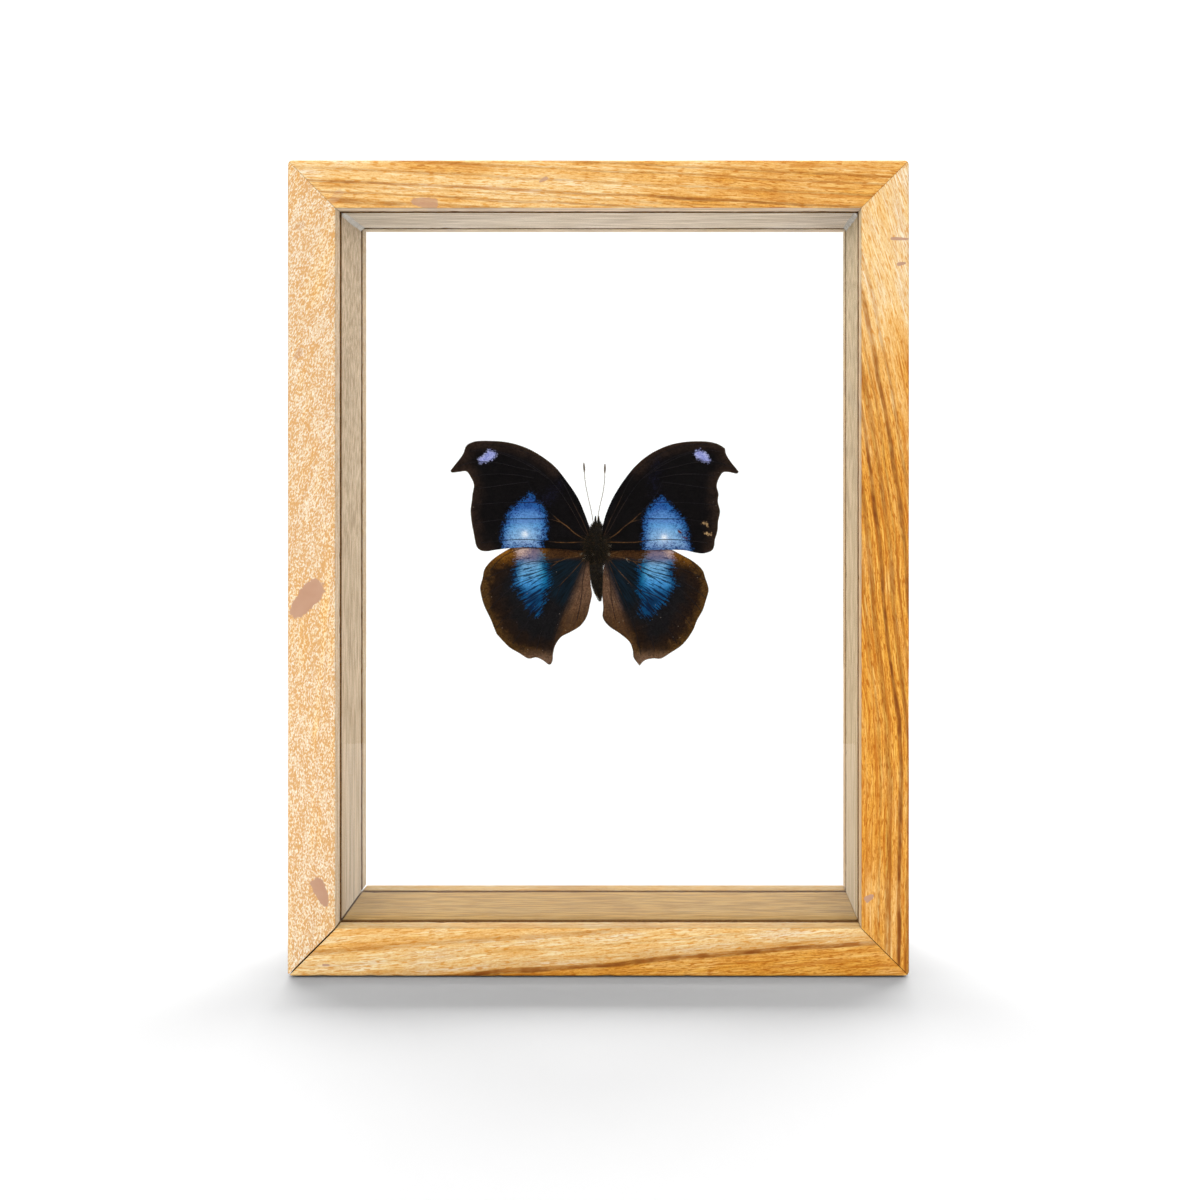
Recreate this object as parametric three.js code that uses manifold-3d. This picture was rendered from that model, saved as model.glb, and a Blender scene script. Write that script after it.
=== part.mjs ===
// A butterfly dried with its wings spread, fixed between two panes of glass in a small
// free-standing wooden frame that is open to the light from both sides.
//
// Millimetres, +Z up. The frame stands on the plane z = 0 with the middle of its bottom
// face at the origin. +X is to the right of someone looking at the butterfly's upper
// side, and +Y points away from them, through the glass.

import * as THREE from 'three';
import { mergeVertices } from 'three/addons/utils/BufferGeometryUtils.js';
import Module from 'manifold-3d';

const wasm = await Module();
wasm.setup();

// The frame: four solid bars mitred at the corners.
const FRAME_WIDTH = 160;
const FRAME_HEIGHT = 210;
const FRAME_DEPTH = 40;
const BAR_THICKNESS = 12.4;
const CORNER_RADIUS = 1.2;
const EASED_EDGE = 0.7;
const EASED_INNER_EDGE = 0.4;
const MITRE_GAP = 0.3;
const BAR_OVERSIZE = 1;

// Two saw kerfs run round the inside of the frame, and each holds one pane.
const KERF_FROM_MIDDLE = 13.5;
const KERF_WIDTH = 2.6;
const KERF_DEPTH = 4;
const GLASS_THICKNESS = 2;
const GLASS_EDGE_GAP = 0.5;

// Clear glue run into the two upper corners between the panes.
const FILLET_LEG = 1.9;
const FILLET_THROAT = 0.6;
const FILLET_GAP = 0.3;

// The butterfly hangs a little left of the middle, closer to the back pane.
const SPECIMEN_X = -1.5;
const SPECIMEN_Z = 109.6;
const BODY_GAP = 0.3;

// The forewings lie in front of the hindwings. A wing's hollow is deepest at hollowZ.
const FOREWING = { rootY: 6.0, hollow: 0.0009, hollowZ: 8 };
const HINDWING = { rootY: 6.9, hollow: 0.0012, hollowZ: -12 };
const WING_SWEEP = 0.03;
const WING_SWEEP_EASE = 0.0004;
const WING_THICKNESS = 0.36;
const WING_GRID = 3;

// Wing margins, as [x, z] from the middle of the thorax. Each wing is a closed ring of
// runs. A run is one smooth curve through its points, and two runs meet at a corner.
const WING_OUTLINES = {
  forewing_left: [
    [
      [-2.2, 5.2], [-3.4, 8.5], [-5.3, 12.9], [-8.2, 17.3], [-11.8, 21.7], [-16.4, 25.1],
      [-20.8, 27.2], [-25.2, 28.3], [-29.6, 28.6], [-33.2, 28.5], [-35.4, 27.7], [-36.2, 26.8],
    ],
    [[-36.2, 26.8], [-36.8, 25.0], [-38.3, 22.9], [-40.2, 20.5]],
    [
      [-40.2, 20.5], [-39.8, 19.9], [-37.7, 20.1], [-35.9, 20.2], [-34.7, 18.7], [-33.8, 16.5],
      [-34.2, 13.9], [-34.4, 11.8], [-34.7, 9.4], [-34.4, 6.3], [-33.8, 3.0], [-33.2, 0.0],
      [-32.2, -1.3], [-30.4, -1.7], [-27.7, -1.3], [-23.5, -0.8], [-18.6, -0.6],
      [-13.6, -0.9], [-7.6, -1.3], [-2.1, -1.7],
    ],
    [[-2.1, -1.7], [-2.2, 5.2]],
  ],
  forewing_right: [
    [
      [1.5, 5.2], [2.4, 8.5], [4.3, 12.9], [7.0, 17.3], [10.5, 21.7], [14.4, 24.9],
      [19.1, 27.2], [23.3, 28.2], [27.4, 28.5], [31.0, 28.3], [33.4, 27.6], [35.1, 26.5],
    ],
    [[35.1, 26.5], [35.4, 24.9], [36.7, 22.8], [38.8, 20.2]],
    [
      [38.8, 20.2], [38.3, 19.6], [36.2, 20.0], [34.5, 19.9], [33.4, 18.3], [32.8, 16.2],
      [33.3, 14.0], [33.1, 12.0], [33.7, 9.2], [33.2, 6.6], [33.0, 3.9], [32.3, 1.4],
      [32.1, -0.3], [31.3, -1.6], [29.0, -2.3], [26.6, -2.0], [23.8, -1.4], [19.4, -1.3],
      [11.7, -1.4], [6.2, -1.5], [1.2, -1.7],
    ],
    [[1.2, -1.7], [1.5, 5.2]],
  ],
  hindwing_left: [
    [
      [-2.9, -0.8], [-7.0, 0.7], [-12.5, 1.4], [-18.0, 1.1], [-22.2, -0.1], [-25.7, -1.9],
      [-29.0, -4.2], [-31.0, -6.7], [-31.5, -9.1], [-32.2, -11.8], [-31.7, -14.6],
      [-31.0, -16.9], [-29.6, -19.8], [-28.6, -22.2], [-27.7, -24.5],
    ],
    [
      [-27.7, -24.5], [-25.7, -26.7], [-23.9, -28.4], [-21.5, -29.8], [-19.0, -31.3],
      [-16.9, -31.0], [-15.0, -31.8], [-13.3, -33.0], [-12.4, -32.1], [-12.2, -30.0],
      [-11.6, -27.7], [-10.0, -25.4], [-7.4, -24.0], [-4.7, -22.3], [-2.9, -19.7],
      [-2.0, -16.2], [-1.5, -13.6], [-1.8, -11.3], [-2.1, -7.4], [-2.3, -3.6], [-2.9, -0.8],
    ],
  ],
  hindwing_right: [
    [
      [2.6, -0.8], [6.7, 0.6], [12.2, 1.1], [16.1, 0.4], [19.7, -1.0], [23.3, -2.8],
      [26.6, -4.7], [28.9, -6.9], [29.7, -9.1], [30.6, -12.2], [29.9, -15.1], [29.0, -17.9],
      [27.4, -20.8], [26.4, -23.3], [25.0, -25.6],
    ],
    [
      [25.0, -25.6], [23.0, -27.8], [20.0, -29.8], [17.5, -31.3], [15.3, -31.3],
      [13.1, -31.8], [11.6, -33.3],
    ],
    [
      [11.6, -33.3], [10.0, -31.1], [9.7, -28.9], [8.8, -26.7], [6.3, -24.5], [3.2, -22.4],
      [1.5, -20.0], [1.6, -17.3], [1.4, -14.0], [1.5, -10.2], [1.8, -5.8], [2.6, -0.8],
    ],
  ],
};

// The body, from the middle of the thorax: an ellipsoid thorax and head, and an abdomen
// that tapers downwards and leans to the right.
const THORAX = { centre: [-0.3, 7.9, -0.6], radii: [2.6, 3.0, 5.0] };
const HEAD = { centre: [-0.1, 7.6, 4.9], radii: [1.3, 1.4, 1.2] };
const EYE = { centre: [0.85, 7.5, 5.0], radii: [0.65, 0.85, 0.75] };
const PALP = { root: [0.4, 7.5, 5.6], tip: [0.48, 7.2, 7.8], radius: 0.36 };
const ABDOMEN_TOP = -3.2;
const ABDOMEN_LENGTH = 12;
const ABDOMEN_RADIUS = 1.75;
const ABDOMEN_Y = 7.8;
const ABDOMEN_LEAN = 1.3;
const ABDOMEN_SEGMENTS = 8;
const SEGMENT_WAIST = 0.1;
const ABDOMEN_TIP = { blunt: 0.98, power: 2.6, length: 0.2 };

// Legs folded back flat under the thorax, as points of hip, knee, ankle and claw.
const LEG_RADIUS = 0.22;
const LEGS = [
  [[0.8, 10.3, -0.6], [2.5, 10.9, -2.6], [1.3, 11.4, -6.6], [1.9, 11.4, -9.4]],
  [[0.6, 10.2, -2.0], [1.9, 11.1, -4.4], [0.7, 11.6, -8.8], [1.0, 11.6, -12.0]],
];

// A drop of clear glue holds the underside of the thorax to the back pane.
const ADHESIVE = { x: -0.3, z: 2.0, radius: 2.0, neck: 1.5, from: 10.6, to: 12.2 };

// Each antenna is a hair-thin shaft that ends in a slim club, root to tip.
const ANTENNA_SHAFT_RADIUS = 0.15;
const CLUB_RADIUS = 0.27;
const CLUB_LENGTH = 2.7;
const ANTENNAE = {
  antenna_left: [
    [-1.1, 6.5, 6.1], [-1.7, 6.2, 9.6], [-2.6, 6.2, 13.5], [-3.3, 6.1, 17.3], [-3.6, 6.0, 21.3],
  ],
  antenna_right: [
    [0.0, 6.1, 6.5], [0.7, 6.1, 10.6], [1.5, 6.1, 14.0], [2.0, 6.0, 17.6], [2.1, 6.0, 21.0],
  ],
};

const FINISHES = {
  palewood: { color: 0xe6c79a, roughness: 0.75 },
  orangewood: { color: 0xdfa45c, roughness: 0.75 },
  glass: { color: 0xeaf3f0, roughness: 0.05, transparent: true, opacity: 0.25 },
  glue: { color: 0xe8e6dc, roughness: 0.2 },
  fur: { color: 0x4a3b22, roughness: 0.95 },
  forewing: { color: 0x2b2628, roughness: 0.8 },
  hindwing: { color: 0x4a3a26, roughness: 0.8 },
  antenna: { color: 0x8a7350, roughness: 0.7 },
};

// Points of one closed geometry that lie closer together than this are one point.
const WELD = 1e-4;

// Booleans: a closed geometry becomes a solid, and a solid goes back to a geometry.
function toSolid(geometry) {
  const bare = geometry.clone();
  bare.deleteAttribute('normal');
  bare.deleteAttribute('uv');
  const merged = mergeVertices(bare, WELD);
  return new wasm.Manifold(new wasm.Mesh({
    numProp: 3,
    vertProperties: new Float32Array(merged.attributes.position.array),
    triVerts: new Uint32Array(merged.index.array),
  }));
}

function toGeometry(solid) {
  const mesh = solid.getMesh();
  const geometry = new THREE.BufferGeometry();
  geometry.setAttribute('position', new THREE.BufferAttribute(mesh.vertProperties, 3));
  geometry.setIndex(new THREE.BufferAttribute(mesh.triVerts, 1));
  geometry.computeVertexNormals();
  return geometry;
}

function joined(geometries) {
  const [first, ...rest] = geometries.map(toSolid);
  return rest.reduce((sum, next) => sum.add(next), first);
}

function named(name, geometry, finish) {
  const material = new THREE.MeshStandardMaterial({ ...finish, metalness: 0 });
  const mesh = new THREE.Mesh(geometry, material);
  mesh.name = name;
  return mesh;
}

// Frame bars. A bar is drawn in its own axes: x runs inwards from its outer face, y from
// the front of the frame to the back, and z along the bar from one outer corner. The
// section is drawn a little too big outwards, and the outer block trims it.
function barSection() {
  const over = BAR_OVERSIZE;
  const half = FRAME_DEPTH / 2;
  const inner = BAR_THICKNESS;
  const section = new THREE.Shape();
  section.moveTo(-over, -half - over);
  section.lineTo(inner - EASED_INNER_EDGE - over, -half - over);
  section.lineTo(inner - EASED_INNER_EDGE, -half);
  section.lineTo(inner, -half + EASED_INNER_EDGE);
  for (const middle of [-KERF_FROM_MIDDLE, KERF_FROM_MIDDLE]) {
    section.lineTo(inner, middle - KERF_WIDTH / 2);
    section.lineTo(inner - KERF_DEPTH, middle - KERF_WIDTH / 2);
    section.lineTo(inner - KERF_DEPTH, middle + KERF_WIDTH / 2);
    section.lineTo(inner, middle + KERF_WIDTH / 2);
  }
  section.lineTo(inner, half - EASED_INNER_EDGE);
  section.lineTo(inner - EASED_INNER_EDGE, half);
  section.lineTo(inner - EASED_INNER_EDGE - over, half + over);
  section.lineTo(-over, half + over);
  section.closePath();
  return section;
}

// The whole frame as one block, which rounds the corners and outer edges of each bar.
function outerBlock(across, along) {
  const radius = CORNER_RADIUS;
  const shape = new THREE.Shape();
  shape.moveTo(radius, 0);
  shape.lineTo(across - radius, 0);
  shape.absarc(across - radius, radius, radius, -Math.PI / 2, 0);
  shape.lineTo(across, along - radius);
  shape.absarc(across - radius, along - radius, radius, 0, Math.PI / 2);
  shape.lineTo(radius, along);
  shape.absarc(radius, along - radius, radius, Math.PI / 2, Math.PI);
  shape.lineTo(0, radius);
  shape.absarc(radius, radius, radius, Math.PI, 1.5 * Math.PI);
  const block = new THREE.ExtrudeGeometry(shape, {
    depth: FRAME_DEPTH - 2 * EASED_EDGE,
    bevelThickness: EASED_EDGE,
    bevelSize: EASED_EDGE,
    bevelOffset: -EASED_EDGE,
    bevelSegments: 2,
    curveSegments: 4,
  });
  block.translate(0, 0, EASED_EDGE - FRAME_DEPTH / 2);
  block.rotateX(Math.PI / 2);
  return block;
}

// Both ends of a bar are cut at 45 degrees, leaving half the mitre gap at each joint.
function barGeometry(length, across) {
  const bar = new THREE.ExtrudeGeometry(barSection(), { depth: length, bevelEnabled: false });
  const halfGap = MITRE_GAP / Math.SQRT2;
  const place = bar.attributes.position;
  for (let i = 0; i < place.count; i += 1) {
    const cut = place.getX(i) + halfGap;
    place.setZ(i, place.getZ(i) > length / 2 ? length - cut : cut);
  }
  return toGeometry(toSolid(bar).intersect(toSolid(outerBlock(across, length))));
}

function addFrame(group) {
  const upright = barGeometry(FRAME_HEIGHT, FRAME_WIDTH);
  const level = barGeometry(FRAME_WIDTH, FRAME_HEIGHT);
  const side = FRAME_WIDTH / 2;
  const bars = [
    ['stile_left', upright, FINISHES.palewood, [-side, 0, 0], 0],
    ['rail_bottom', level, FINISHES.palewood, [side, 0, 0], -Math.PI / 2],
    ['stile_right', upright, FINISHES.orangewood, [side, 0, FRAME_HEIGHT], Math.PI],
    ['rail_top', level, FINISHES.orangewood, [-side, 0, FRAME_HEIGHT], Math.PI / 2],
  ];
  for (const [name, geometry, finish, place, turn] of bars) {
    const bar = named(name, geometry, finish);
    bar.position.set(...place);
    bar.rotation.y = turn;
    group.add(bar);
  }
}

function addPanes(group) {
  const reach = 2 * (KERF_DEPTH - GLASS_EDGE_GAP - BAR_THICKNESS);
  const width = FRAME_WIDTH + reach;
  const height = FRAME_HEIGHT + reach;
  const places = [['glass_front', -KERF_FROM_MIDDLE], ['glass_back', KERF_FROM_MIDDLE]];
  for (const [name, y] of places) {
    const geometry = new THREE.BoxGeometry(width, GLASS_THICKNESS, height);
    const pane = named(name, geometry, FINISHES.glass);
    pane.position.set(0, y, FRAME_HEIGHT / 2);
    group.add(pane);
  }
}

// A fillet has two straight legs on the wood and a hollow face, like a bead of sealant
// that was drawn into the corner. It is drawn for the left corner and turned for the right.
function filletGeometry() {
  const shape = new THREE.Shape();
  shape.moveTo(0, 0);
  shape.lineTo(0, -FILLET_LEG);
  shape.quadraticCurveTo(FILLET_THROAT, -FILLET_THROAT, FILLET_LEG, 0);
  shape.closePath();
  const length = 2 * (KERF_FROM_MIDDLE - GLASS_THICKNESS / 2 - FILLET_GAP);
  const bead = new THREE.ExtrudeGeometry(shape, {
    depth: length,
    bevelEnabled: false,
    curveSegments: 6,
  });
  bead.translate(0, 0, -length / 2);
  bead.rotateX(Math.PI / 2);
  return bead;
}

function addFillets(group) {
  const x = FRAME_WIDTH / 2 - BAR_THICKNESS - FILLET_GAP;
  const z = FRAME_HEIGHT - BAR_THICKNESS - FILLET_GAP;
  const left = named('glue_fillet_left', filletGeometry(), FINISHES.glue);
  left.position.set(-x, 0, z);
  const right = named('glue_fillet_right', filletGeometry(), FINISHES.glue);
  right.position.set(x, 0, z);
  right.rotation.y = Math.PI / 2;
  group.add(left, right);
}

// Body.
function ellipsoid(centre, radii, around, rings, grow = 0) {
  const ball = new THREE.SphereGeometry(1, around, rings);
  ball.rotateX(Math.PI / 2);
  ball.scale(...radii.map((radius) => radius + grow));
  ball.translate(...centre);
  return ball;
}

// The abdomen swells a little below the thorax, is pinched between its segments and
// ends in a blunt point.
function abdomenGeometry(grow = 0) {
  const rows = 3 * ABDOMEN_SEGMENTS;
  const profile = [new THREE.Vector2(0, -grow)];
  for (let row = 0; row <= rows; row += 1) {
    const t = row / rows;
    const taper = Math.sqrt(1 - (ABDOMEN_TIP.blunt * t) ** ABDOMEN_TIP.power);
    const waist = SEGMENT_WAIST * Math.abs(Math.cos(Math.PI * ABDOMEN_SEGMENTS * t)) ** 4;
    const radius = (ABDOMEN_RADIUS - waist) * taper + grow;
    profile.push(new THREE.Vector2(radius, t * ABDOMEN_LENGTH));
  }
  profile.push(new THREE.Vector2(0, ABDOMEN_LENGTH + ABDOMEN_TIP.length + grow));
  const abdomen = new THREE.LatheGeometry(profile, 18);
  abdomen.rotateX(-Math.PI / 2);
  const place = abdomen.attributes.position;
  for (let i = 0; i < place.count; i += 1) {
    const t = -place.getZ(i) / ABDOMEN_LENGTH;
    place.setX(i, place.getX(i) + ABDOMEN_LEAN * t * t);
  }
  abdomen.translate(THORAX.centre[0], ABDOMEN_Y, ABDOMEN_TOP);
  return abdomen;
}

// A rod of round section, with an even number of sides, along a smooth curve.
function rodGeometry(points, radius, sides, steps) {
  const curve = new THREE.CatmullRomCurve3(
    points.map((point) => new THREE.Vector3(...point)), false, 'centripetal',
  );
  const section = new THREE.Shape();
  section.absarc(0, 0, radius, 0, 2 * Math.PI);
  return new THREE.ExtrudeGeometry(section, {
    steps,
    extrudePath: curve,
    curveSegments: sides / 2,
    bevelEnabled: false,
  });
}

// A slim bud with rounded ends, such as a palp or the club of an antenna.
function budGeometry(middle, along, length, radius) {
  const bud = new THREE.SphereGeometry(1, 10, 10);
  bud.scale(radius, length / 2, radius);
  const upright = new THREE.Vector3(0, 1, 0);
  bud.applyQuaternion(new THREE.Quaternion().setFromUnitVectors(upright, along));
  bud.translate(middle.x, middle.y, middle.z);
  return bud;
}

// The two palps stand side by side in front of the head, pointing up.
function palpGeometry(side) {
  const [root, tip] = [PALP.root, PALP.tip].map(
    ([x, y, z]) => new THREE.Vector3(side * x + HEAD.centre[0], y, z),
  );
  const reach = tip.clone().sub(root);
  const length = reach.length() + PALP.radius;
  return budGeometry(root.lerp(tip, 0.5), reach.normalize(), length, PALP.radius);
}

function legGeometry(points, side) {
  const mirrored = points.map(([x, y, z]) => [side * x + THORAX.centre[0], y, z]);
  return rodGeometry(mirrored, LEG_RADIUS, 6, 12);
}

function trunkGeometries(grow) {
  return [
    ellipsoid(THORAX.centre, THORAX.radii, 20, 14, grow),
    ellipsoid(HEAD.centre, HEAD.radii, 16, 10, grow),
    abdomenGeometry(grow),
  ];
}

function bodySolid() {
  const pieces = trunkGeometries(0);
  for (const side of [-1, 1]) {
    const [x, y, z] = EYE.centre;
    pieces.push(ellipsoid([side * x + HEAD.centre[0], y, z], EYE.radii, 12, 8));
    pieces.push(palpGeometry(side));
    for (const leg of LEGS) {
      pieces.push(legGeometry(leg, side));
    }
  }
  return joined(pieces);
}

// Wings. Both wings of a side lie nearly flat. They sweep a little forwards towards the
// tip and are hollow across: this gives y at a place [x, z] on the wing.
function wingY(wing, x, z) {
  const sweep = WING_SWEEP * Math.abs(x) - WING_SWEEP_EASE * x * x;
  return wing.rootY - sweep + wing.hollow * (z - wing.hollowZ) ** 2;
}

function outlineShape(runs) {
  const ring = [];
  for (const run of runs) {
    const points = run.map(([x, z]) => new THREE.Vector2(x, z));
    const curve = new THREE.SplineCurve(points);
    const smooth = curve.getPoints(2 * (points.length - 1));
    smooth.pop();
    ring.push(...smooth);
  }
  return new THREE.Shape(ring);
}

// A thin curved sheet, larger than the wing, cut to its outline and to the body.
function wingSolid(wing, runs, keepOut) {
  const depth = KERF_FROM_MIDDLE;
  const prism = new THREE.ExtrudeGeometry(outlineShape(runs), { depth, bevelEnabled: false });
  prism.rotateX(Math.PI / 2);
  prism.translate(0, depth, 0);
  prism.computeBoundingBox();
  const { min, max } = prism.boundingBox;
  const width = max.x - min.x + WING_GRID;
  const height = max.z - min.z + WING_GRID;
  const across = Math.round(width / WING_GRID);
  const up = Math.round(height / WING_GRID);
  const sheet = new THREE.BoxGeometry(width, WING_THICKNESS, height, across, 1, up);
  sheet.translate((min.x + max.x) / 2, 0, (min.z + max.z) / 2);
  const place = sheet.attributes.position;
  for (let i = 0; i < place.count; i += 1) {
    place.setY(i, place.getY(i) + wingY(wing, place.getX(i), place.getZ(i)));
  }
  return toSolid(sheet).intersect(toSolid(prism)).subtract(keepOut);
}

function addWings(group, keepOut) {
  for (const [name, runs] of Object.entries(WING_OUTLINES)) {
    const isFore = name.startsWith('forewing');
    const solid = wingSolid(isFore ? FOREWING : HINDWING, runs, keepOut);
    const finish = isFore ? FINISHES.forewing : FINISHES.hindwing;
    group.add(named(name, toGeometry(solid), finish));
  }
}

function antennaSolid(points) {
  const shaft = rodGeometry(points, ANTENNA_SHAFT_RADIUS, 6, 14);
  const tip = new THREE.Vector3(...points.at(-1));
  const along = tip.clone().sub(new THREE.Vector3(...points.at(-2))).normalize();
  return joined([shaft, budGeometry(tip, along, CLUB_LENGTH, CLUB_RADIUS)]);
}

// The drop spreads against the pane and is hollowed by the thorax that sits in it.
function adhesiveSolid(keepOut) {
  const { x, z, radius, neck, from, to } = ADHESIVE;
  const profile = [[0, 0], [neck, 0], [radius, to - from], [0, to - from]];
  const drop = new THREE.LatheGeometry(profile.map((point) => new THREE.Vector2(...point)), 24);
  drop.translate(x, from, z);
  return toSolid(drop).subtract(keepOut);
}

function addSpecimen(group) {
  const specimen = new THREE.Group();
  specimen.position.set(SPECIMEN_X, 0, SPECIMEN_Z);
  specimen.add(named('body', toGeometry(bodySolid()), FINISHES.fur));
  const keepOut = joined(trunkGeometries(BODY_GAP));
  addWings(specimen, keepOut);
  for (const [name, points] of Object.entries(ANTENNAE)) {
    specimen.add(named(name, toGeometry(antennaSolid(points)), FINISHES.antenna));
  }
  specimen.add(named('adhesive', toGeometry(adhesiveSolid(keepOut)), FINISHES.glue));
  group.add(specimen);
}

const framedButterfly = new THREE.Group();
framedButterfly.name = 'framed_butterfly';
addFrame(framedButterfly);
addPanes(framedButterfly);
addFillets(framedButterfly);
addSpecimen(framedButterfly);

export default framedButterfly;
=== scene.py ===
# %% [markdown]
# A dried butterfly with spread wings sits between two panes of glass, in a small wooden
# frame that is open to the light from both sides. This lesson dresses the measured model
# of that frame: its bars, panes and butterfly already have their places and sizes.
# Loading the measured model first means that nothing has to be fitted by eye.

# %% Load the measured model
import math

import bmesh
import bpy
import numpy as np
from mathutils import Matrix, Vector
from mathutils.geometry import delaunay_2d_cdt


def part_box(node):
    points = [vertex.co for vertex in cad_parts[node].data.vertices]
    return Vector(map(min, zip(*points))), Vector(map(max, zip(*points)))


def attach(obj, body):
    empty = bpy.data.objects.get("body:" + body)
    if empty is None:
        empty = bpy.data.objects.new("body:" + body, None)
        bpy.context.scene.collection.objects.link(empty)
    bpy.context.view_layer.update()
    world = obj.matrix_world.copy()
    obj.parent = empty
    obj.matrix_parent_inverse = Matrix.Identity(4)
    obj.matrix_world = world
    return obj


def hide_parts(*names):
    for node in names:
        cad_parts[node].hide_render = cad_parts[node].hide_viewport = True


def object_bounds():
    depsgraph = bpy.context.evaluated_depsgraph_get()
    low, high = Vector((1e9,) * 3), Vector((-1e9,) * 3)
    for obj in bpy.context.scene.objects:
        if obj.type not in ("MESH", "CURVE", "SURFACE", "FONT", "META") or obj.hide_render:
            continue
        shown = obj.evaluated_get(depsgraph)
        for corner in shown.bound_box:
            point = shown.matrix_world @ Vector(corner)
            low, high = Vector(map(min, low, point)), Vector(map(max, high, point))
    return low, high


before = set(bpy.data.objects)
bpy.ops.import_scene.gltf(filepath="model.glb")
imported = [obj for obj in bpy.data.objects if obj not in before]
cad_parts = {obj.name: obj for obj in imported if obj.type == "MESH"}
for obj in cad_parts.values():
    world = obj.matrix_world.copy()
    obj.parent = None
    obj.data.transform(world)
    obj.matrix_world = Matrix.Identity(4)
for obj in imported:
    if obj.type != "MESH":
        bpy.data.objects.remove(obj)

cad_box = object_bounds()
MM = 0.001
print("nodes:", sorted(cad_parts))

# %% [markdown]
# The camera comes first, because it decides how much detail each piece needs. The
# photograph was taken from a little right of the middle and a little above it, looking
# straight along the frame's depth, and was cropped afterwards. The lens shift does the
# crop, so the upright bars stay upright. Turning the camera instead would make them lean.

# %% Camera
SENSOR = 36
LENS = 43.3
CAMERA_AT = (0.01765, -0.391, 0.1313)

camera_data = bpy.data.cameras.new("camera")
camera_data.sensor_width = SENSOR
camera_data.lens = LENS
camera_data.shift_x = -0.0558
camera_data.shift_y = -0.1117
camera = bpy.data.objects.new("camera", camera_data)
camera.location = CAMERA_AT
camera.rotation_euler = (math.radians(90), 0, 0)
bpy.context.scene.collection.objects.link(camera)
bpy.context.scene.camera = camera
bpy.context.scene.view_settings.view_transform = "Standard"
distance = cad_box[0][1] - CAMERA_AT[1]
print("camera sees about", round(SENSOR / LENS * distance, 3), "m at the frame's front")

# %% [markdown]
# Every piece below is worked out as lists of points in millimetres and becomes a mesh
# once, at the end of its own cell. Numbers that belong to points, such as how far a
# point is from a marking's edge, travel along as attributes, which a material can read.
# The other way, painting an image, would tie the look to one picture and one size.
# Bars, beads, veins, legs and balls are all tubes: rows of points in closed rings, with a
# face between every four neighbours and a cap at each end.

# %% Turn points and faces into a mesh
def make_piece(name, points, faces, marks=None, smooth_below=40):
    mesh = bpy.data.meshes.new(name)
    mesh.from_pydata((np.asarray(points) * MM).tolist(), [], faces)
    mesh.validate()
    mesh.polygons.foreach_set("use_smooth", [True] * len(mesh.polygons))
    mesh.set_sharp_from_angle(angle=math.radians(smooth_below))
    for label, values in (marks or {}).items():
        values = np.asarray(values, np.float32)
        kind = "FLOAT_VECTOR" if values.ndim == 2 else "FLOAT"
        attribute = mesh.attributes.new(label, kind, "POINT")
        field = "vector" if values.ndim == 2 else "value"
        attribute.data.foreach_set(field, values.ravel())
    piece = bpy.data.objects.new(name, mesh)
    bpy.context.scene.collection.objects.link(piece)
    return piece


def tube_faces(rows, ring, flip=False):
    index = np.arange(rows * ring).reshape(rows, ring)
    ahead = np.roll(index, -1, 1)
    quads = np.stack([index[:-1], ahead[:-1], ahead[1:], index[1:]], 2).reshape(-1, 4)
    faces = quads.tolist() + [index[0, ::-1].tolist(), index[-1].tolist()]
    return [face[::-1] for face in faces] if flip else faces


def settle(piece, material, stands_for):
    piece.data.materials.append(material)
    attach(piece, "root")
    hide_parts(stands_for)
    print(piece.name, "has", len(piece.data.polygons), "faces")
    return piece


# %% [markdown]
# Nothing that was sawn by hand or grown is quite even. This noise gives each point a
# smooth, repeatable offset between -1 and 1. It is worked out from the point's place, so
# the same script always makes the same bumps.

# %% Even bumps from places
def bumps(points, size, seed):
    place = np.atleast_2d(np.asarray(points, float)) / size
    cell = np.floor(place).astype(np.int64)
    part = place - cell
    part = part * part * (3 - 2 * part)
    total = np.zeros(len(place))
    primes = np.array([73856093, 19349663, 83492791])[: place.shape[1]]
    for corner in range(2 ** place.shape[1]):
        step = np.array([(corner >> axis) & 1 for axis in range(place.shape[1])])
        mixed = ((cell + step) * primes).sum(1) + seed * 2654435
        mixed = (mixed ^ (mixed >> 13)) * 1274126177 & 0xFFFFFFFF
        mixed = (mixed ^ (mixed >> 15)) * 2246822519 & 0xFFFFFFFF
        share = np.where(step, part, 1 - part).prod(1)
        total += share * ((mixed % 65536) / 32768 - 1)
    return total


# %% [markdown]
# Materials are networks of nodes. These small helpers place a node, fill its inputs and
# connect it in one line each, so the recipes below read from the surface upwards.

# %% Node helpers
def feed(tree, socket, value):
    if isinstance(value, bpy.types.NodeSocket):
        tree.links.new(value, socket)
    elif value is not None:
        if socket.type == "RGBA" and len(value) == 3:
            value = (*value, 1)
        socket.default_value = value


def node(tree, kind, feeds=None, **settings):
    made = tree.nodes.new(kind if kind.startswith("Node") else "ShaderNode" + kind)
    for name, value in settings.items():
        setattr(made, name, value)
    for name, value in (feeds or {}).items():
        feed(tree, made.inputs[name], value)
    return made


def maths(tree, operation, first, second=None, third=None):
    made = node(tree, "Math", operation=operation)
    for socket, value in zip(made.inputs, (first, second, third)):
        feed(tree, socket, value)
    return made.outputs[0]


def times(tree, first, second):
    return maths(tree, "MULTIPLY", first, second)


def choose(tree, share, first, second):
    made = node(tree, "Mix", data_type="FLOAT")
    feed(tree, made.inputs[0], share)
    feed(tree, made.inputs[2], first)
    feed(tree, made.inputs[3], second)
    return made.outputs[0]


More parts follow.
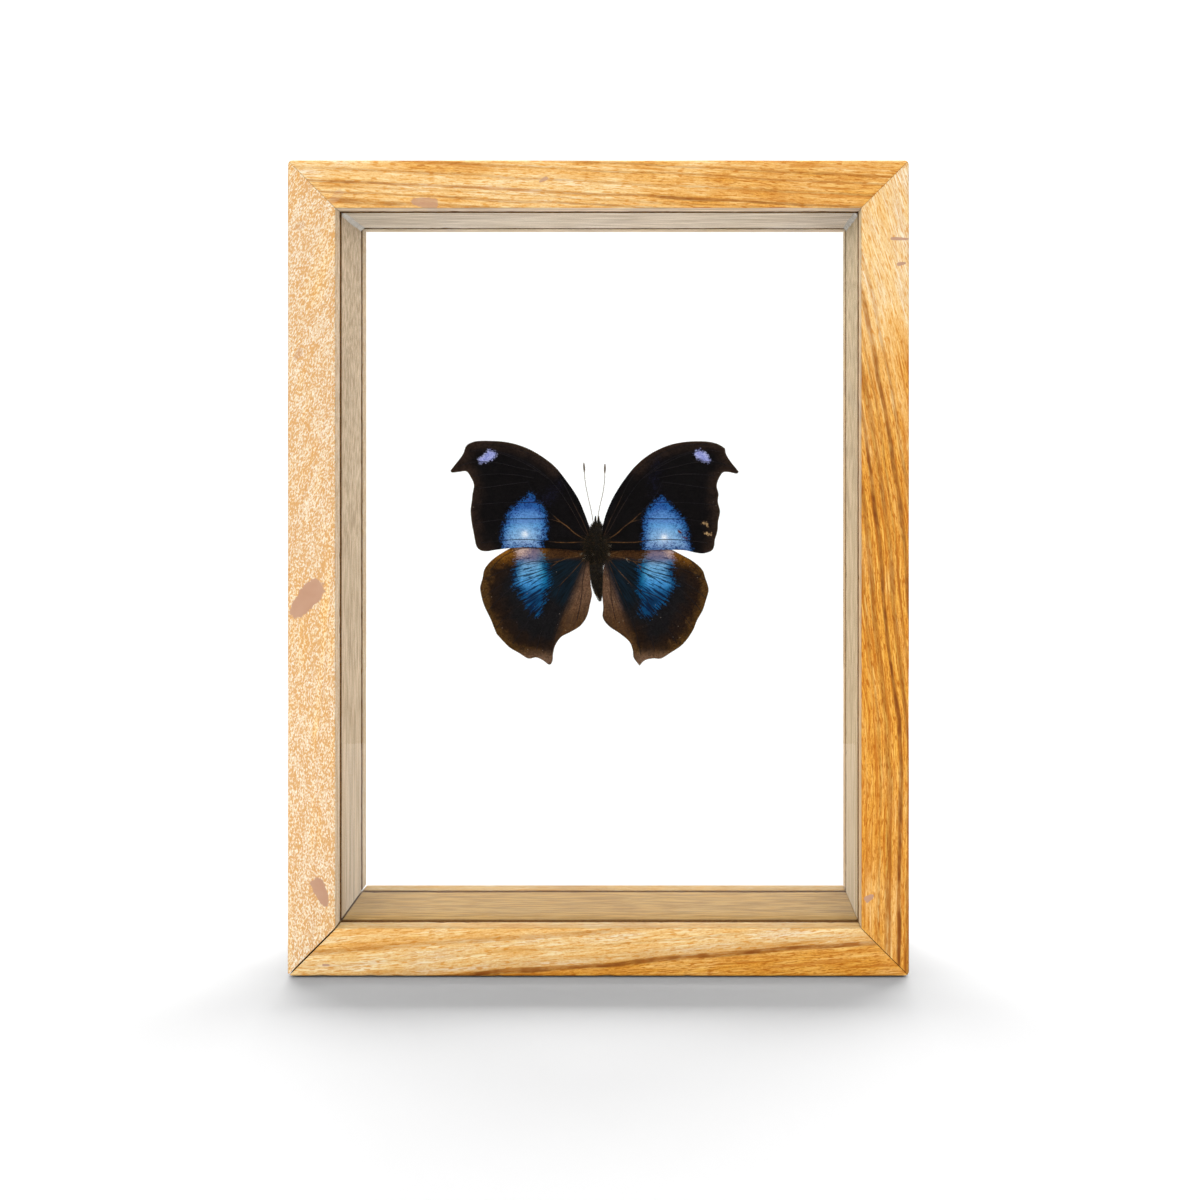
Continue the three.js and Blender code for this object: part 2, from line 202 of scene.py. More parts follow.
def blend(tree, share, first, second, how="MIX"):
    made = node(tree, "Mix", data_type="RGBA", blend_type=how)
    feed(tree, made.inputs[0], share)
    feed(tree, made.inputs[6], first)
    feed(tree, made.inputs[7], second)
    return made.outputs[2]


def fade(tree, value, low, high, least=0.0, most=1.0):
    feeds = {0: value, 1: low, 2: high, 3: least, 4: most}
    made = node(tree, "MapRange", feeds, interpolation_type="SMOOTHSTEP")
    return made.outputs[0]


def steps(tree, value, stops):
    made = node(tree, "ValToRGB", {0: value})
    ramp = made.color_ramp
    while len(ramp.elements) < len(stops):
        ramp.elements.new(0.5)
    for element, (place, colour) in zip(ramp.elements, stops):
        element.position = place
        element.color = (*colour, 1)
    return made.outputs[0]


def mark(tree, name, output="Fac"):
    return node(tree, "Attribute", attribute_name=name).outputs[output]


def object_place(tree):
    return node(tree, "TexCoord").outputs["Object"]


def stretch(tree, place, scale):
    return node(tree, "Mapping", {"Vector": place, "Scale": scale}).outputs[0]


def noise(tree, place, scale, detail, rough=0.5):
    feeds = {"Vector": place, "Scale": scale, "Detail": detail, "Roughness": rough}
    return node(tree, "TexNoise", feeds).outputs["Fac"]


def new_group(name, takes, gives):
    tree = bpy.data.node_groups.new(name, "ShaderNodeTree")
    for label, kind in takes:
        tree.interface.new_socket(label, in_out="INPUT", socket_type="NodeSocket" + kind)
    for label, kind in gives:
        tree.interface.new_socket(label, in_out="OUTPUT", socket_type="NodeSocket" + kind)
    return tree, node(tree, "NodeGroupInput").outputs, node(tree, "NodeGroupOutput").inputs


def use_group(tree, group, feeds):
    made = node(tree, "Group", node_tree=group)
    for name, value in feeds.items():
        feed(tree, made.inputs[name], value)
    return made.outputs


def new_material(name):
    material = bpy.data.materials.new(name)
    material.use_nodes = True
    tree = material.node_tree
    return material, tree, tree.nodes["Principled BSDF"]


def finish_surface(tree, surface, colour, roughness, gloss, height=None, depth=0, strength=1):
    feed(tree, surface.inputs["Base Color"], colour)
    feed(tree, surface.inputs["Roughness"], roughness)
    surface.inputs["Specular IOR Level"].default_value = gloss
    if height is not None:
        feeds = {"Height": height, "Distance": depth, "Strength": strength}
        feed(tree, surface.inputs["Normal"], node(tree, "Bump", feeds).outputs[0])


print("helpers are ready for", bpy.app.version_string)

# %% [markdown]
# Floor and light. The photograph has a white backdrop with a soft shadow under the frame.
# A pale floor and a white world give the backdrop. The floor ends half a metre behind the
# frame, where its pale grey has already faded into the white.

# %% Floor
HALF_FLOOR = 0.8
FLOOR_FRONT = -0.32
FLOOR_BACK = 0.55
BELOW_FRAME = 0.0002


def make_floor():
    mesh = bpy.data.meshes.new("floor")
    ends = [(-HALF_FLOOR, FLOOR_FRONT), (HALF_FLOOR, FLOOR_FRONT)]
    ends += [(HALF_FLOOR, FLOOR_BACK), (-HALF_FLOOR, FLOOR_BACK)]
    mesh.from_pydata([(x, y, 0) for x, y in ends], [], [(0, 1, 2, 3)])
    floor = bpy.data.objects.new("floor", mesh)
    floor.location.z = -BELOW_FRAME
    material, tree, surface = new_material("pale_floor")
    cloud = noise(tree, object_place(tree), 6.0, 3.0)
    tone = blend(tree, cloud, (0.86, 0.86, 0.86), (0.9, 0.9, 0.9))
    finish_surface(tree, surface, tone, 0.9, 0.1)
    mesh.materials.append(material)
    bpy.context.scene.collection.objects.link(floor)
    return floor


FLOOR = make_floor()
print("floor ends", FLOOR_BACK, "m behind the middle of the frame")


# %% [markdown]
# The world is white where the camera looks at it, straight or through the panes, and
# dimmer where it lights the floor. Light that a pane has mirrored even once meets a dark
# room instead. A white room there would lay a grey veil over the butterfly, and a real
# photographer hangs a black cloth behind the camera for the same reason.

# %% World
WHITE_BACKDROP = 1.3
SOFT_FILL = 0.27
MIRRORED_ROOM = 0.012


def make_world():
    world = bpy.data.worlds.new("white_room")
    world.use_nodes = True
    tree = world.node_tree
    background = tree.nodes["Background"]
    path = node(tree, "LightPath").outputs
    seen = maths(tree, "MAXIMUM", path["Is Camera Ray"], path["Is Transmission Ray"])
    direct = choose(tree, seen, SOFT_FILL, WHITE_BACKDROP)
    mirrored = maths(tree, "GREATER_THAN", path["Glossy Depth"], 0.5)
    feed(tree, background.inputs["Strength"], choose(tree, mirrored, direct, MIRRORED_ROOM))
    background.inputs["Color"].default_value = (1, 1, 1, 1)
    bpy.context.scene.world = world


make_world()
print("white backdrop", WHITE_BACKDROP, "soft fill", SOFT_FILL)


# %% [markdown]
# Large lamps stand round the frame. The two in front light the wood and the wings.
# The wide, low one behind shines through the frame, so the bottom bar throws the short
# dark shadow that lies in front of it. Large lamps keep every edge of it soft. The front
# pair is kept off the floor with light linking, the way a photographer shades a lamp with
# a flag: otherwise it would fill that shadow and throw the wood's orange on to the floor.

# %% Lamps
AIM = Vector((0, 0, 0.1))
LOW_BEHIND = ((0, 0.95, 0.36), 2.4, 0.5)


def soft_light(name, place, width, height, power):
    data = bpy.data.lights.new(name, "AREA")
    data.shape = "RECTANGLE"
    data.size = width
    data.size_y = height
    data.energy = power
    lamp = bpy.data.objects.new(name, data)
    lamp.location = place
    lamp.rotation_euler = (AIM - Vector(place)).to_track_quat("-Z", "Y").to_euler()
    lamp.visible_camera = False
    lamp.visible_transmission = False
    bpy.context.scene.collection.objects.link(lamp)
    print(name, "gives", power, "W")
    return lamp


def link_light(lamp, pieces, how):
    chosen = bpy.data.collections.new(lamp.name + "_" + how.lower())
    lamp.light_linking.receiver_collection = chosen
    for number, piece in enumerate(pieces):
        chosen.objects.link(piece)
        chosen.collection_objects[number].light_linking.link_state = how


soft_light("light_above", (0, 0.15, 0.95), 0.8, 0.5, 5.4)
BEHIND = soft_light("light_behind", *LOW_BEHIND, 36.0)
for name, place, power in (
    ("light_front_left", (-0.65, -1.05, 0.6), 8.3),
    ("light_front_right", (0.65, -1.05, 0.55), 5.7),
):
    link_light(soft_light(name, place, 0.5, 0.5, power), [FLOOR], "EXCLUDE")


# %% [markdown]
# The bars are planed from one pale tropical timber that darkens to orange in its
# heartwood. Up close the face is a mass of short slanting flecks, crossed by a few long
# dark growth lines. The group below is that timber. Each bar uses it with its own lines
# and patches, because each was cut from another place in the plank. The grain position
# comes with the mesh, so a growth line runs round the edge on to the next face.

# %% Timber group
def make_timber():
    takes = [
        ("Grain", "Vector"), ("Heart", "Float"), ("Lines", "Float"), ("Patch", "Float"),
        ("Inner", "Float"), ("Inner Colour", "Color"), ("Kerf", "Float"), ("Fleck", "Float"),
    ]
    gives = [("Color", "Color"), ("Roughness", "Float"), ("Height", "Float")]
    tree, given, out = new_group("timber", takes, gives)

    def grain_noise(along, across, detail, rough=0.6):
        place = stretch(tree, given["Grain"], (along, across, across))
        return noise(tree, place, 1.0, detail, rough)

    # Wide and slow first, then the marks that a plane leaves open, down to the pores.
    cloud = grain_noise(0.05, 0.16, 2.0)
    tongue = grain_noise(0.022, 0.5, 3.0)
    fibre = grain_noise(0.13, 2.2, 3.0)
    sweep = grain_noise(0.03, 1.1, 2.0)
    fleck = grain_noise(1.5, 3.1, 1.0, 0.5)
    dash = grain_noise(0.42, 3.0, 1.0, 0.5)
    mottle = grain_noise(0.16, 0.3, 2.0)
    pore = grain_noise(2.2, 3.9, 1.0, 0.5)

    shift = maths(tree, "MULTIPLY_ADD", tongue, 0.9, cloud)
    shift = maths(tree, "MULTIPLY_ADD", maths(tree, "SUBTRACT", shift, 0.95), 0.8, given["Heart"])
    heart = fade(tree, shift, 0.02, 0.98)
    ground = steps(tree, heart, [
        (0.0, (0.82, 0.61, 0.37)), (0.35, (0.92, 0.64, 0.28)), (0.7, (0.89, 0.49, 0.13)),
        (1.0, (0.79, 0.34, 0.035)),
    ])
    pale = steps(tree, heart, [
        (0.0, (0.98, 0.9, 0.75)), (0.5, (1.0, 0.8, 0.43)), (1.0, (0.93, 0.52, 0.095)),
    ])
    dark = steps(tree, heart, [
        (0.0, (0.7, 0.35, 0.1)), (0.5, (0.78, 0.34, 0.05)), (1.0, (0.5, 0.135, 0.0)),
    ])
    granules = times(tree, fade(tree, pore, 0.42, 0.64), given["Fleck"])
    colour = blend(tree, granules, ground, pale)
    where = maths(tree, "MULTIPLY_ADD", mottle, 0.35, fleck)
    flecks = times(tree, fade(tree, where, 0.6, 0.74), given["Fleck"])
    colour = blend(tree, flecks, colour, dark)
    long_grain = fade(tree, given["Fleck"], 0.3, 1.0, 1.0, 0.0)
    light = times(tree, fade(tree, fibre, 0.34, 0.5, 0.9, 0.0), long_grain)
    colour = blend(tree, light, colour, pale)
    ripe = times(tree, fade(tree, heart, 0.45, 1.0, 0.12, 0.7), long_grain)
    swept = times(tree, fade(tree, sweep, 0.5, 0.66), ripe)
    colour = blend(tree, swept, colour, dark)
    streaks = times(tree, fade(tree, fibre, 0.54, 0.7, 0.0, 0.8), ripe)
    colour = blend(tree, streaks, colour, dark)
    dashes = times(tree, fade(tree, dash, 0.53, 0.64, 0.0, 0.9), long_grain)
    colour = blend(tree, dashes, colour, dark)
    line_colour = blend(tree, heart, (0.6, 0.22, 0.03), (0.22, 0.055, 0.0))
    broken = fade(tree, mottle, 0.35, 0.62, 1.0, 0.6)
    colour = blend(tree, times(tree, given["Lines"], broken), colour, line_colour)
    paste = grain_noise(0.2, 0.2, 2.0)
    patch_colour = blend(tree, paste, (0.5, 0.27, 0.165), (0.6, 0.36, 0.24))
    colour = blend(tree, given["Patch"], colour, patch_colour)
    # Faces between the panes take a darker, greyer copy of the wood, streaked along the grain:
    # partly the sawn faces' own colour, partly painted shade.
    grey_and_shade = blend(tree, fade(tree, sweep, 0.35, 0.65), (0.72, 0.68, 0.62), (1.16, 1.17, 1.18))
    grey_and_shade = blend(tree, 1.0, given["Inner Colour"], grey_and_shade, "MULTIPLY")
    colour = blend(tree, times(tree, given["Inner"], 0.9), colour, grey_and_shade)
    # Painted shade and saw burn: the kerfs, and a ragged line along their lips, turn dark brown.
    burn_and_shade = blend(tree, fleck, (0.07, 0.025, 0.005), (0.28, 0.13, 0.035))
    colour = blend(tree, given["Kerf"], colour, burn_and_shade)

    feed(tree, out["Color"], colour)
    planed = fade(tree, flecks, 0.0, 1.0, 0.5, 0.68)
    feed(tree, out["Roughness"], choose(tree, given["Inner"], planed, 0.95))
    grooves = times(tree, maths(tree, "ADD", dashes, streaks), -0.6)
    feed(tree, out["Height"], maths(tree, "SUBTRACT", grooves, given["Lines"]))
    return tree


TIMBER = make_timber()
print("timber group has", len(TIMBER.nodes), "nodes")

# %% [markdown]
# The maker filled small knots and torn places with a pink-brown paste, sanded flush. A
# patch is an oval of colour with a slightly ragged outline, set at a place on the bar.
# It needs no geometry, because it can't be felt.

# %% Filler patch group
SQUARENESS = 2.6


def make_filler():
    takes = [("Place", "Vector"), ("Centre", "Vector"), ("Turn", "Vector"), ("Size", "Vector")]
    tree, given, out = new_group("filler_patch", takes, [("Mask", "Float")])
    feeds = {"Vector": given["Place"], "Location": given["Centre"]}
    feeds.update({"Rotation": given["Turn"], "Scale": given["Size"]})
    inside = node(tree, "Mapping", feeds, vector_type="TEXTURE").outputs[0]
    axes = node(tree, "SeparateXYZ", {0: inside}).outputs
    pointed = maths(tree, "MULTIPLY_ADD", axes["X"], -0.25, 1.0)
    narrow = times(tree, axes["Y"], pointed)
    long = maths(tree, "POWER", maths(tree, "ABSOLUTE", axes["X"]), SQUARENESS)
    wide = maths(tree, "POWER", maths(tree, "ABSOLUTE", narrow), SQUARENESS)
    length = maths(tree, "POWER", maths(tree, "ADD", long, wide), 1 / SQUARENESS)
    ragged = noise(tree, given["Place"], 0.9, 3.0)
    reach = maths(tree, "MULTIPLY_ADD", ragged, 0.55, length)
    feed(tree, out["Mask"], fade(tree, reach, 1.2, 1.32, 1.0, 0.0))
    return tree


FILLER = make_filler()
print("filler group has", len(FILLER.nodes), "nodes")


# %% [markdown]
# One recipe makes the material of any bar. It takes the bar's growth lines, each given
# by its distance across the bar, its width and its strength, and the bar's patches. To
# light that has already bounced off the floor the wood looks grey. Otherwise the shadow
# on the white floor would turn orange, where a photographer's big white room cancels it.

# %% Material of a bar
BOUNCE_GREY = (0.44, 0.43, 0.42)
FRONT_FACE = -20


def bar_material(name, lines, patches, fleck, inner_grey_and_shade):
    material, tree, surface = new_material(name)
    grain = mark(tree, "grain", "Vector")
    place = mark(tree, "place", "Vector")
    ring = node(tree, "SeparateXYZ", {0: grain}).outputs["Y"]
    waver = noise(tree, stretch(tree, grain, (0.06, 0.4, 0.2)), 1.0, 3.0)
    bent = maths(tree, "MULTIPLY_ADD", waver, 1.6, maths(tree, "SUBTRACT", ring, 0.8))
    dark = None
    for middle, half, strength in lines:
        away = maths(tree, "ABSOLUTE", maths(tree, "SUBTRACT", bent, middle))
        line = fade(tree, away, half * 0.3, half, strength, 0.0)
        dark = line if dark is None else maths(tree, "MAXIMUM", dark, line)
    patch = None
    for centre, turn, size, strength in patches:
        feeds = {"Place": place, "Centre": (*centre, FRONT_FACE), "Turn": (0, 0, turn)}
        feeds["Size"] = (*size, 3)
        mask = times(tree, use_group(tree, FILLER, feeds)["Mask"], strength)
        patch = mask if patch is None else maths(tree, "MAXIMUM", patch, mask)
    # Mask of the kerfs' dark brown, partly saw burn and partly painted shade in the slots, reaching
    # out over each lip as a torn line.
    torn = noise(tree, place, 1.4, 2.0)
    lip = maths(tree, "MULTIPLY_ADD", torn, -0.22, mark(tree, "kerf"))
    kerf = fade(tree, lip, 0.02, 0.26, 1.0, 0.0)
    feeds = {
        "Grain": grain, "Heart": mark(tree, "heart"), "Lines": dark, "Patch": patch,
        "Inner": mark(tree, "inner"), "Kerf": kerf, "Fleck": fleck,
        "Inner Colour": inner_grey_and_shade,
    }
    wood = use_group(tree, TIMBER, feeds)
    bounced = node(tree, "LightPath").outputs["Is Diffuse Ray"]
    colour = blend(tree, bounced, wood["Color"], BOUNCE_GREY)
    height = wood["Height"]
    finish_surface(tree, surface, colour, wood["Roughness"], 0.22, height, 0.00012, 0.35)
    return material


# %% [markdown]
# A bar's section is a rectangle with eased edges and two saw kerfs that hold the panes.
# A bevelled block would do from afar, but a kerf's lip shows as a fine ragged line all
# round the picture. So the section is drawn once as a closed ring of points, swept along
# the bar in steps of about a millimetre, and each lip gets its own small tears.

# %% Section of a bar
BAR = 12.4
DEPTH = 40
KERF_MIDDLE = 13.5
KERF_WIDTH = 2.6
KERF_DEPTH = 4
OUTER_EASE = 0.7
INNER_EASE = 0.4
LIP_EASE = 0.05
CORNER_RADIUS = 1.2
LIPS = [side * KERF_MIDDLE + way * KERF_WIDTH / 2 for side in (-1, 1) for way in (-1, 1)]


def section_ring(longest=1.6):
    half = DEPTH / 2
    corners = [(0, -half, OUTER_EASE), (BAR, -half, INNER_EASE)]
    for near, far in (LIPS[:2], LIPS[2:]):
        corners += [(BAR, near, LIP_EASE), (BAR - KERF_DEPTH, near, 0)]
        corners += [(BAR - KERF_DEPTH, far, 0), (BAR, far, LIP_EASE)]
    corners += [(BAR, half, INNER_EASE), (0, half, OUTER_EASE)]
    ring = []
    for index, (x, y, ease) in enumerate(corners):
        here = np.array([x, y])
        to_last = np.array(corners[index - 1][:2]) - here
        to_next = np.array(corners[(index + 1) % len(corners)][:2]) - here
        to_last = to_last / np.linalg.norm(to_last)
        to_next = to_next / np.linalg.norm(to_next)
        turns = 4 if ease > 0.2 else 2
        for step in range(turns + 1 if ease else 1):
            angle = step / turns * math.pi / 2
            back = ease * (1 - math.sin(angle))
            on = ease * (1 - math.cos(angle))
            ring.append(here + to_last * back + to_next * on)
    dense = []
    for index, here in enumerate(ring):
        ahead = ring[(index + 1) % len(ring)]
        count = max(1, math.ceil(np.linalg.norm(ahead - here) / longest))
        dense += [here + (ahead - here) * step / count for step in range(count)]
    return np.array(dense)


SECTION = section_ring()
print("section has", len(SECTION), "points")


# %% [markdown]
# Each bar now gets its length, its mitred ends and its wear. The growth rings bend
# differently in each bar, so a bar brings a small table of how far its lines drift
# across the bar, and another of how far its timber has turned to orange heartwood.

# %% Sweep a bar
END_STEPS = np.array([0, 0.12, 0.3, 0.55, 0.85, 1.2, 1.7, 2.4])
FIRST_STEP = 3.4
STEP_ALONG = 1.25
TIGHT_MITRE = 0.05
OPEN_MITRE = 0.13
GAPING_MITRE = 0.3
BACK_KERF_FAINTER = 0.3
NO_KERF = 5


def bar_points(length, mitre_gaps, seed, lip_grey_and_shade):
    middle = np.arange(FIRST_STEP, length - FIRST_STEP + 0.1, STEP_ALONG)
    along = np.concatenate([END_STEPS, middle, length - END_STEPS[::-1]])
    share = (along / length)[:, None]
    x = np.repeat(SECTION[None, :, 0], len(along), 0)
    y = np.repeat(SECTION[None, :, 1], len(along), 0)
    z = (x + mitre_gaps[0]) * (1 - share) + (length - x - mitre_gaps[1]) * share
    spot = np.stack([x.ravel(), y.ravel(), z.ravel()], 1)

    # How far a point is from the nearest kerf: outside plus, inside minus its depth.
    deep = BAR - spot[:, 0]
    beside_kerf = np.abs(np.abs(spot[:, 1]) - KERF_MIDDLE) - KERF_WIDTH / 2
    opening = (np.abs(spot[:, 1]) < DEPTH / 2 - 0.15) & (deep < KERF_DEPTH + 0.01)
    # The back kerfs get less of that painted shade and burn.
    faint = np.where(spot[:, 1] > 0, BACK_KERF_FAINTER, 0)
    kerf = np.where(opening, np.maximum(beside_kerf, 0) - deep + faint, NO_KERF)
    # The lips beside the kerfs get only a share of that greyer colour with its painted shade; each
    # bar sets its own share.
    grey_and_shade_share = np.where(np.abs(spot[:, 1]) < KERF_MIDDLE, 1, lip_grey_and_shade)
    inner = np.where(opening & (deep < 0.3), grey_and_shade_share, 0)
    place = spot[:, [2, 0, 1]].copy()

    # Tears along the four lips of the kerfs.
    for number, lip in enumerate(LIPS):
        near = np.clip(1 - np.abs(spot[:, 1] - lip) / 0.5, 0, 1) * (spot[:, 0] > BAR - 0.3)
        tear = bumps(spot[:, 2:], 1.3, seed + number) ** 3 * 0.16
        tear += bumps(spot[:, 2:], 6.0, seed + 7 + number) * 0.05
        into_wood = 1 if abs(lip) > KERF_MIDDLE else -1
        spot[:, 1] += near * tear * into_wood * np.sign(lip)
        spot[:, 0] -= near * np.clip(tear, 0, 1) * 0.5

    # The corner of the frame is rounded: a square of points turns into a quarter disc.
    for end in (0, 1):
        ahead = spot[:, 2] if end == 0 else length - spot[:, 2]
        across = spot[:, 0] - CORNER_RADIUS
        beside = ahead - CORNER_RADIUS
        corner = (across < 0) & (beside < 0)
        widest = np.maximum(-across, -beside)
        pull = np.where(corner, widest / np.maximum(np.hypot(across, beside), 1e-9), 1)
        spot[:, 0] = np.where(corner, CORNER_RADIUS + across * pull, spot[:, 0])
        ahead = np.where(corner, CORNER_RADIUS + beside * pull, ahead)
        spot[:, 2] = ahead if end == 0 else length - ahead

    # Sanded faces are never dead flat. Outer faces only ever lose wood.
    wave = 0.5 + 0.5 * bumps(place, 16.0, seed + 20)
    spot[:, 1] -= np.where(opening, 0, np.sign(spot[:, 1]) * 0.05 * wave)
    spot[:, 0] += np.where(spot[:, 0] < 0.3, 0.05 * wave, 0)
    nick = np.clip(bumps(place, 2.2, seed + 31) - 0.55, 0, 1) * 0.35
    edge = (spot[:, 0] < OUTER_EASE) & (np.abs(spot[:, 1]) > DEPTH / 2 - OUTER_EASE)
    spot[:, 0] += edge * nick
    spot[:, 1] -= edge * nick * np.sign(spot[:, 1])
    return spot, place, kerf, inner, len(along)


def make_bar(name, length, mitres, to_frame, lip_grey_and_shade, drift, heart, seed, material):
    spot, place, kerf, inner, rows = bar_points(length, mitres, seed, lip_grey_and_shade)
    faces = tube_faces(rows, len(SECTION))
    rings = place[:, 1] + drift(place[:, 0], place[:, 1], place[:, 2])
    grain = np.stack([place[:, 0], rings, place[:, 2] + seed * 3], 1)
    marks = {
        "grain": grain, "place": place, "kerf": kerf, "inner": inner,
        "heart": heart(place[:, 0], place[:, 1], rings),
    }
    bar = make_piece("planed_" + name, to_frame(*spot.T), faces, marks, 50)
    return settle(bar, material, name)


# %% [markdown]
# The left upright is the palest bar. It is nearly all flecks, with hardly any long lines,
# and two large filled places. Its flecks lean, because the grain rises out of the face.

# %% Left upright
SIDE = 80
HEIGHT = 210
left_patches = [
    ((97.0, 4.9), 0.68, (5.9, 2.6), 1.0), ((21.8, 8.6), -0.4, (3.9, 1.6), 1.0),
    ((160, 2.9), 0.6, (1.8, 0.8), 0.35), ((193, 3.2), 1.0, (1.6, 1.0), 0.25),
]
left_lines = [(-7, 0.6, 0.2), (4.5, 0.4, 0.25), (20, 0.5, 0.2)]
warm_grey = (0.62, 0.48, 0.33)


def left_drift(along, across, depth):
    return -np.interp(along, [0, 60, 110, 160, 210], [0, 1.5, 6, 19, 38]) + 0.1 * depth


def left_heart(along, across, ring):
    return np.interp(along, [0, 30, 150, 190], [0.2, 0.1, 0.08, 0.16])


pale_left = bar_material("wood_pale_left", left_lines, left_patches, 0.88, warm_grey)
make_bar(
    "stile_left", HEIGHT, (GAPING_MITRE, TIGHT_MITRE),
    lambda x, y, z: np.stack([x - SIDE, y, z], 1), 0.75,
    left_drift, left_heart, 11, pale_left)


# %% [markdown]
# The right upright starts pale at the top and turns orange. One long dark growth line
# enters from the inner edge a fifth of the way down and runs out to the outer edge. Its
# places were measured along the bar, and the drift of the grain is worked out from them.

# %% Right upright
RIGHT_LINE = (
    [0, 35, 51, 68, 85, 96, 113, 133, 144, 160, 175, 210],
    [22.5, 12, 8.8, 5.6, 3.0, 1.4, 0.3, -2.0, -3.4, -4.1, -3.8, -3.5],
)


def right_drift(along, across, depth):
    line = np.interp(along, RIGHT_LINE[0], RIGHT_LINE[1])
    return -line + 0.05 * (depth + 20)


def right_heart(along, across, ring):
    return np.interp(along, [0, 35, 60, 95, 140, 210], [0.3, 0.45, 0.75, 1.0, 0.92, 0.8])


right_lines = [(0, 0.8, 0.85), (6.3, 0.75, 1.0), (-2.6, 0.7, 0.5), (4.0, 0.9, 0.6)]
right_lines += [(9.2, 1.0, 0.6), (2.2, 0.5, 0.4), (11.4, 0.6, 0.4)]
right_patches = [
    ((20.3, 2.6), 1.6, (2.4, 0.4), 1.0), ((26.7, 2.1), 1.4, (1.2, 0.45), 1.0),
    ((189.8, 10.4), 1.0, (1.4, 0.8), 1.0),
]
warm_brown = (0.62, 0.49, 0.315)
orange_right = bar_material(
    "wood_orange_right", right_lines, right_patches, 0.3, warm_brown)
make_bar(
    "stile_right", HEIGHT, (TIGHT_MITRE, OPEN_MITRE),
    lambda x, y, z: np.stack([SIDE - x, y, HEIGHT - z], 1), 0.75,
    right_drift, right_heart, 23, orange_right)

# %% [markdown]
# The top rail is orange all along, with fine darker lines that sink slowly to the right.

# %% Top rail
top_lines = [(4.8, 0.6, 0.8), (1.6, 0.5, 0.45), (-1.2, 0.5, 0.4), (7.6, 0.5, 0.6)]
top_lines += [(9.7, 0.8, 0.6), (6.2, 0.4, 0.3), (-3.4, 0.5, 0.5)]
top_patches = [
    ((35.3, 11.0), 0.1, (3.5, 1.3), 0.75), ((65.9, 5.1), -0.5, (1.3, 0.45), 0.8),
    ((12.5, 9.6), -0.8, (2.4, 1.0), 0.25),
]
orange_top = bar_material("wood_orange_top", top_lines, top_patches, 0.3, (0.71, 0.615, 0.5))
make_bar(
    "rail_top", 2 * SIDE, (TIGHT_MITRE, TIGHT_MITRE),
    lambda x, y, z: np.stack([z - SIDE, y, HEIGHT - x], 1), 0.8,
    lambda along, across, depth: -0.05 * along - 0.03 * (depth + 20),
    lambda along, across, ring: np.interp(along, [0, 40, 160], [0.52, 0.56, 0.7]),
    37, orange_top)


# %% [markdown]
# The bottom rail's grain climbs to the right, and one strong brown growth line crosses
# its right half, with the darker heartwood below it.

# %% Bottom rail
def bottom_drift(along, across, depth):
    climb = np.interp(along, [0, 10, 31, 47, 63, 80, 104, 160],
                      [-9.4, -8.7, -7.1, -5.9, -4.5, -2.8, -1.4, 3.1])
    return climb - 0.04 * (depth + 20)


def bottom_heart(along, across, ring):
    return np.clip(0.75 - 0.25 * (ring - 0.2), 0.47, 0.85)


bottom_lines = [(0.0, 0.9, 1.0), (1.1, 2.4, 0.3), (8.6, 0.9, 0.45), (5.0, 0.5, 0.2)]
bottom_patches = [((150, 3), 0, (1, 0.3), 1.0)]
brown_grey = (0.45, 0.272, 0.093)
pale_bottom = bar_material("wood_pale_bottom", bottom_lines, bottom_patches, 0.3, brown_grey)
make_bar(
    "rail_bottom", 2 * SIDE, (OPEN_MITRE, GAPING_MITRE),
    lambda x, y, z: np.stack([SIDE - z, y, x], 1), 0.6,
    bottom_drift, bottom_heart, 41, pale_bottom)

# %% [markdown]
# The lamp behind has to be strong to reach the floor in front through the frame. It would
# bleach the backs of the bars, so the bars are kept out of it and get a weak lamp of
# their own in the same place.

# %% A weaker lamp for the bars
BAR_NAMES = ("stile_left", "stile_right", "rail_top", "rail_bottom")
BARS = [bpy.data.objects["planed_" + name] for name in BAR_NAMES]
link_light(BEHIND, BARS, "EXCLUDE")
link_light(soft_light("light_bars_behind", *LOW_BEHIND, 14.0), BARS, "INCLUDE")

# %% [markdown]
# Each pane is ordinary float glass with its sharp edges ground off. Glass is a plain
# transmitting surface. Light that only has to get through it, on its way to the wood or
# the wings, is let straight through, because bent light paths would leave grain.

# %% Glass
GROUND_EDGE = 0.25


def make_glass():
    material, tree, surface = new_material("float_glass")
    surface.inputs["Transmission Weight"].default_value = 1.0
    surface.inputs["IOR"].default_value = 1.5
    smear = noise(tree, object_place(tree), 18.0, 4.0)
    tint = blend(tree, smear, (0.975, 0.99, 0.985), (1.0, 1.0, 1.0))
    finish_surface(tree, surface, tint, fade(tree, smear, 0.6, 0.9, 0.0, 0.02), 0.5)
    path = node(tree, "LightPath").outputs
    passing = maths(tree, "MAXIMUM", path["Is Shadow Ray"], path["Is Diffuse Ray"])
    clear = node(tree, "BsdfTransparent")
    mixed = node(tree, "MixShader", {0: passing, 1: surface.outputs[0], 2: clear.outputs[0]})
    tree.links.new(mixed.outputs[0], tree.nodes["Material Output"].inputs["Surface"])
    return material


def make_pane(name, material):
    low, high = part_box(name)
    shape = bmesh.new()
    bmesh.ops.create_cube(shape, size=1)
    size = high - low
    bmesh.ops.scale(shape, vec=size, verts=shape.verts)
    bmesh.ops.translate(shape, vec=(low + high) / 2, verts=shape.verts)
    bmesh.ops.bevel(shape, geom=shape.edges[:], offset=GROUND_EDGE * MM, segments=2, affect="EDGES")
    mesh = bpy.data.meshes.new(name)
    shape.to_mesh(mesh)
    shape.free()
    pane = bpy.data.objects.new("pane_" + name.split("_")[1], mesh)
    bpy.context.scene.collection.objects.link(pane)
    return settle(pane, material, name)


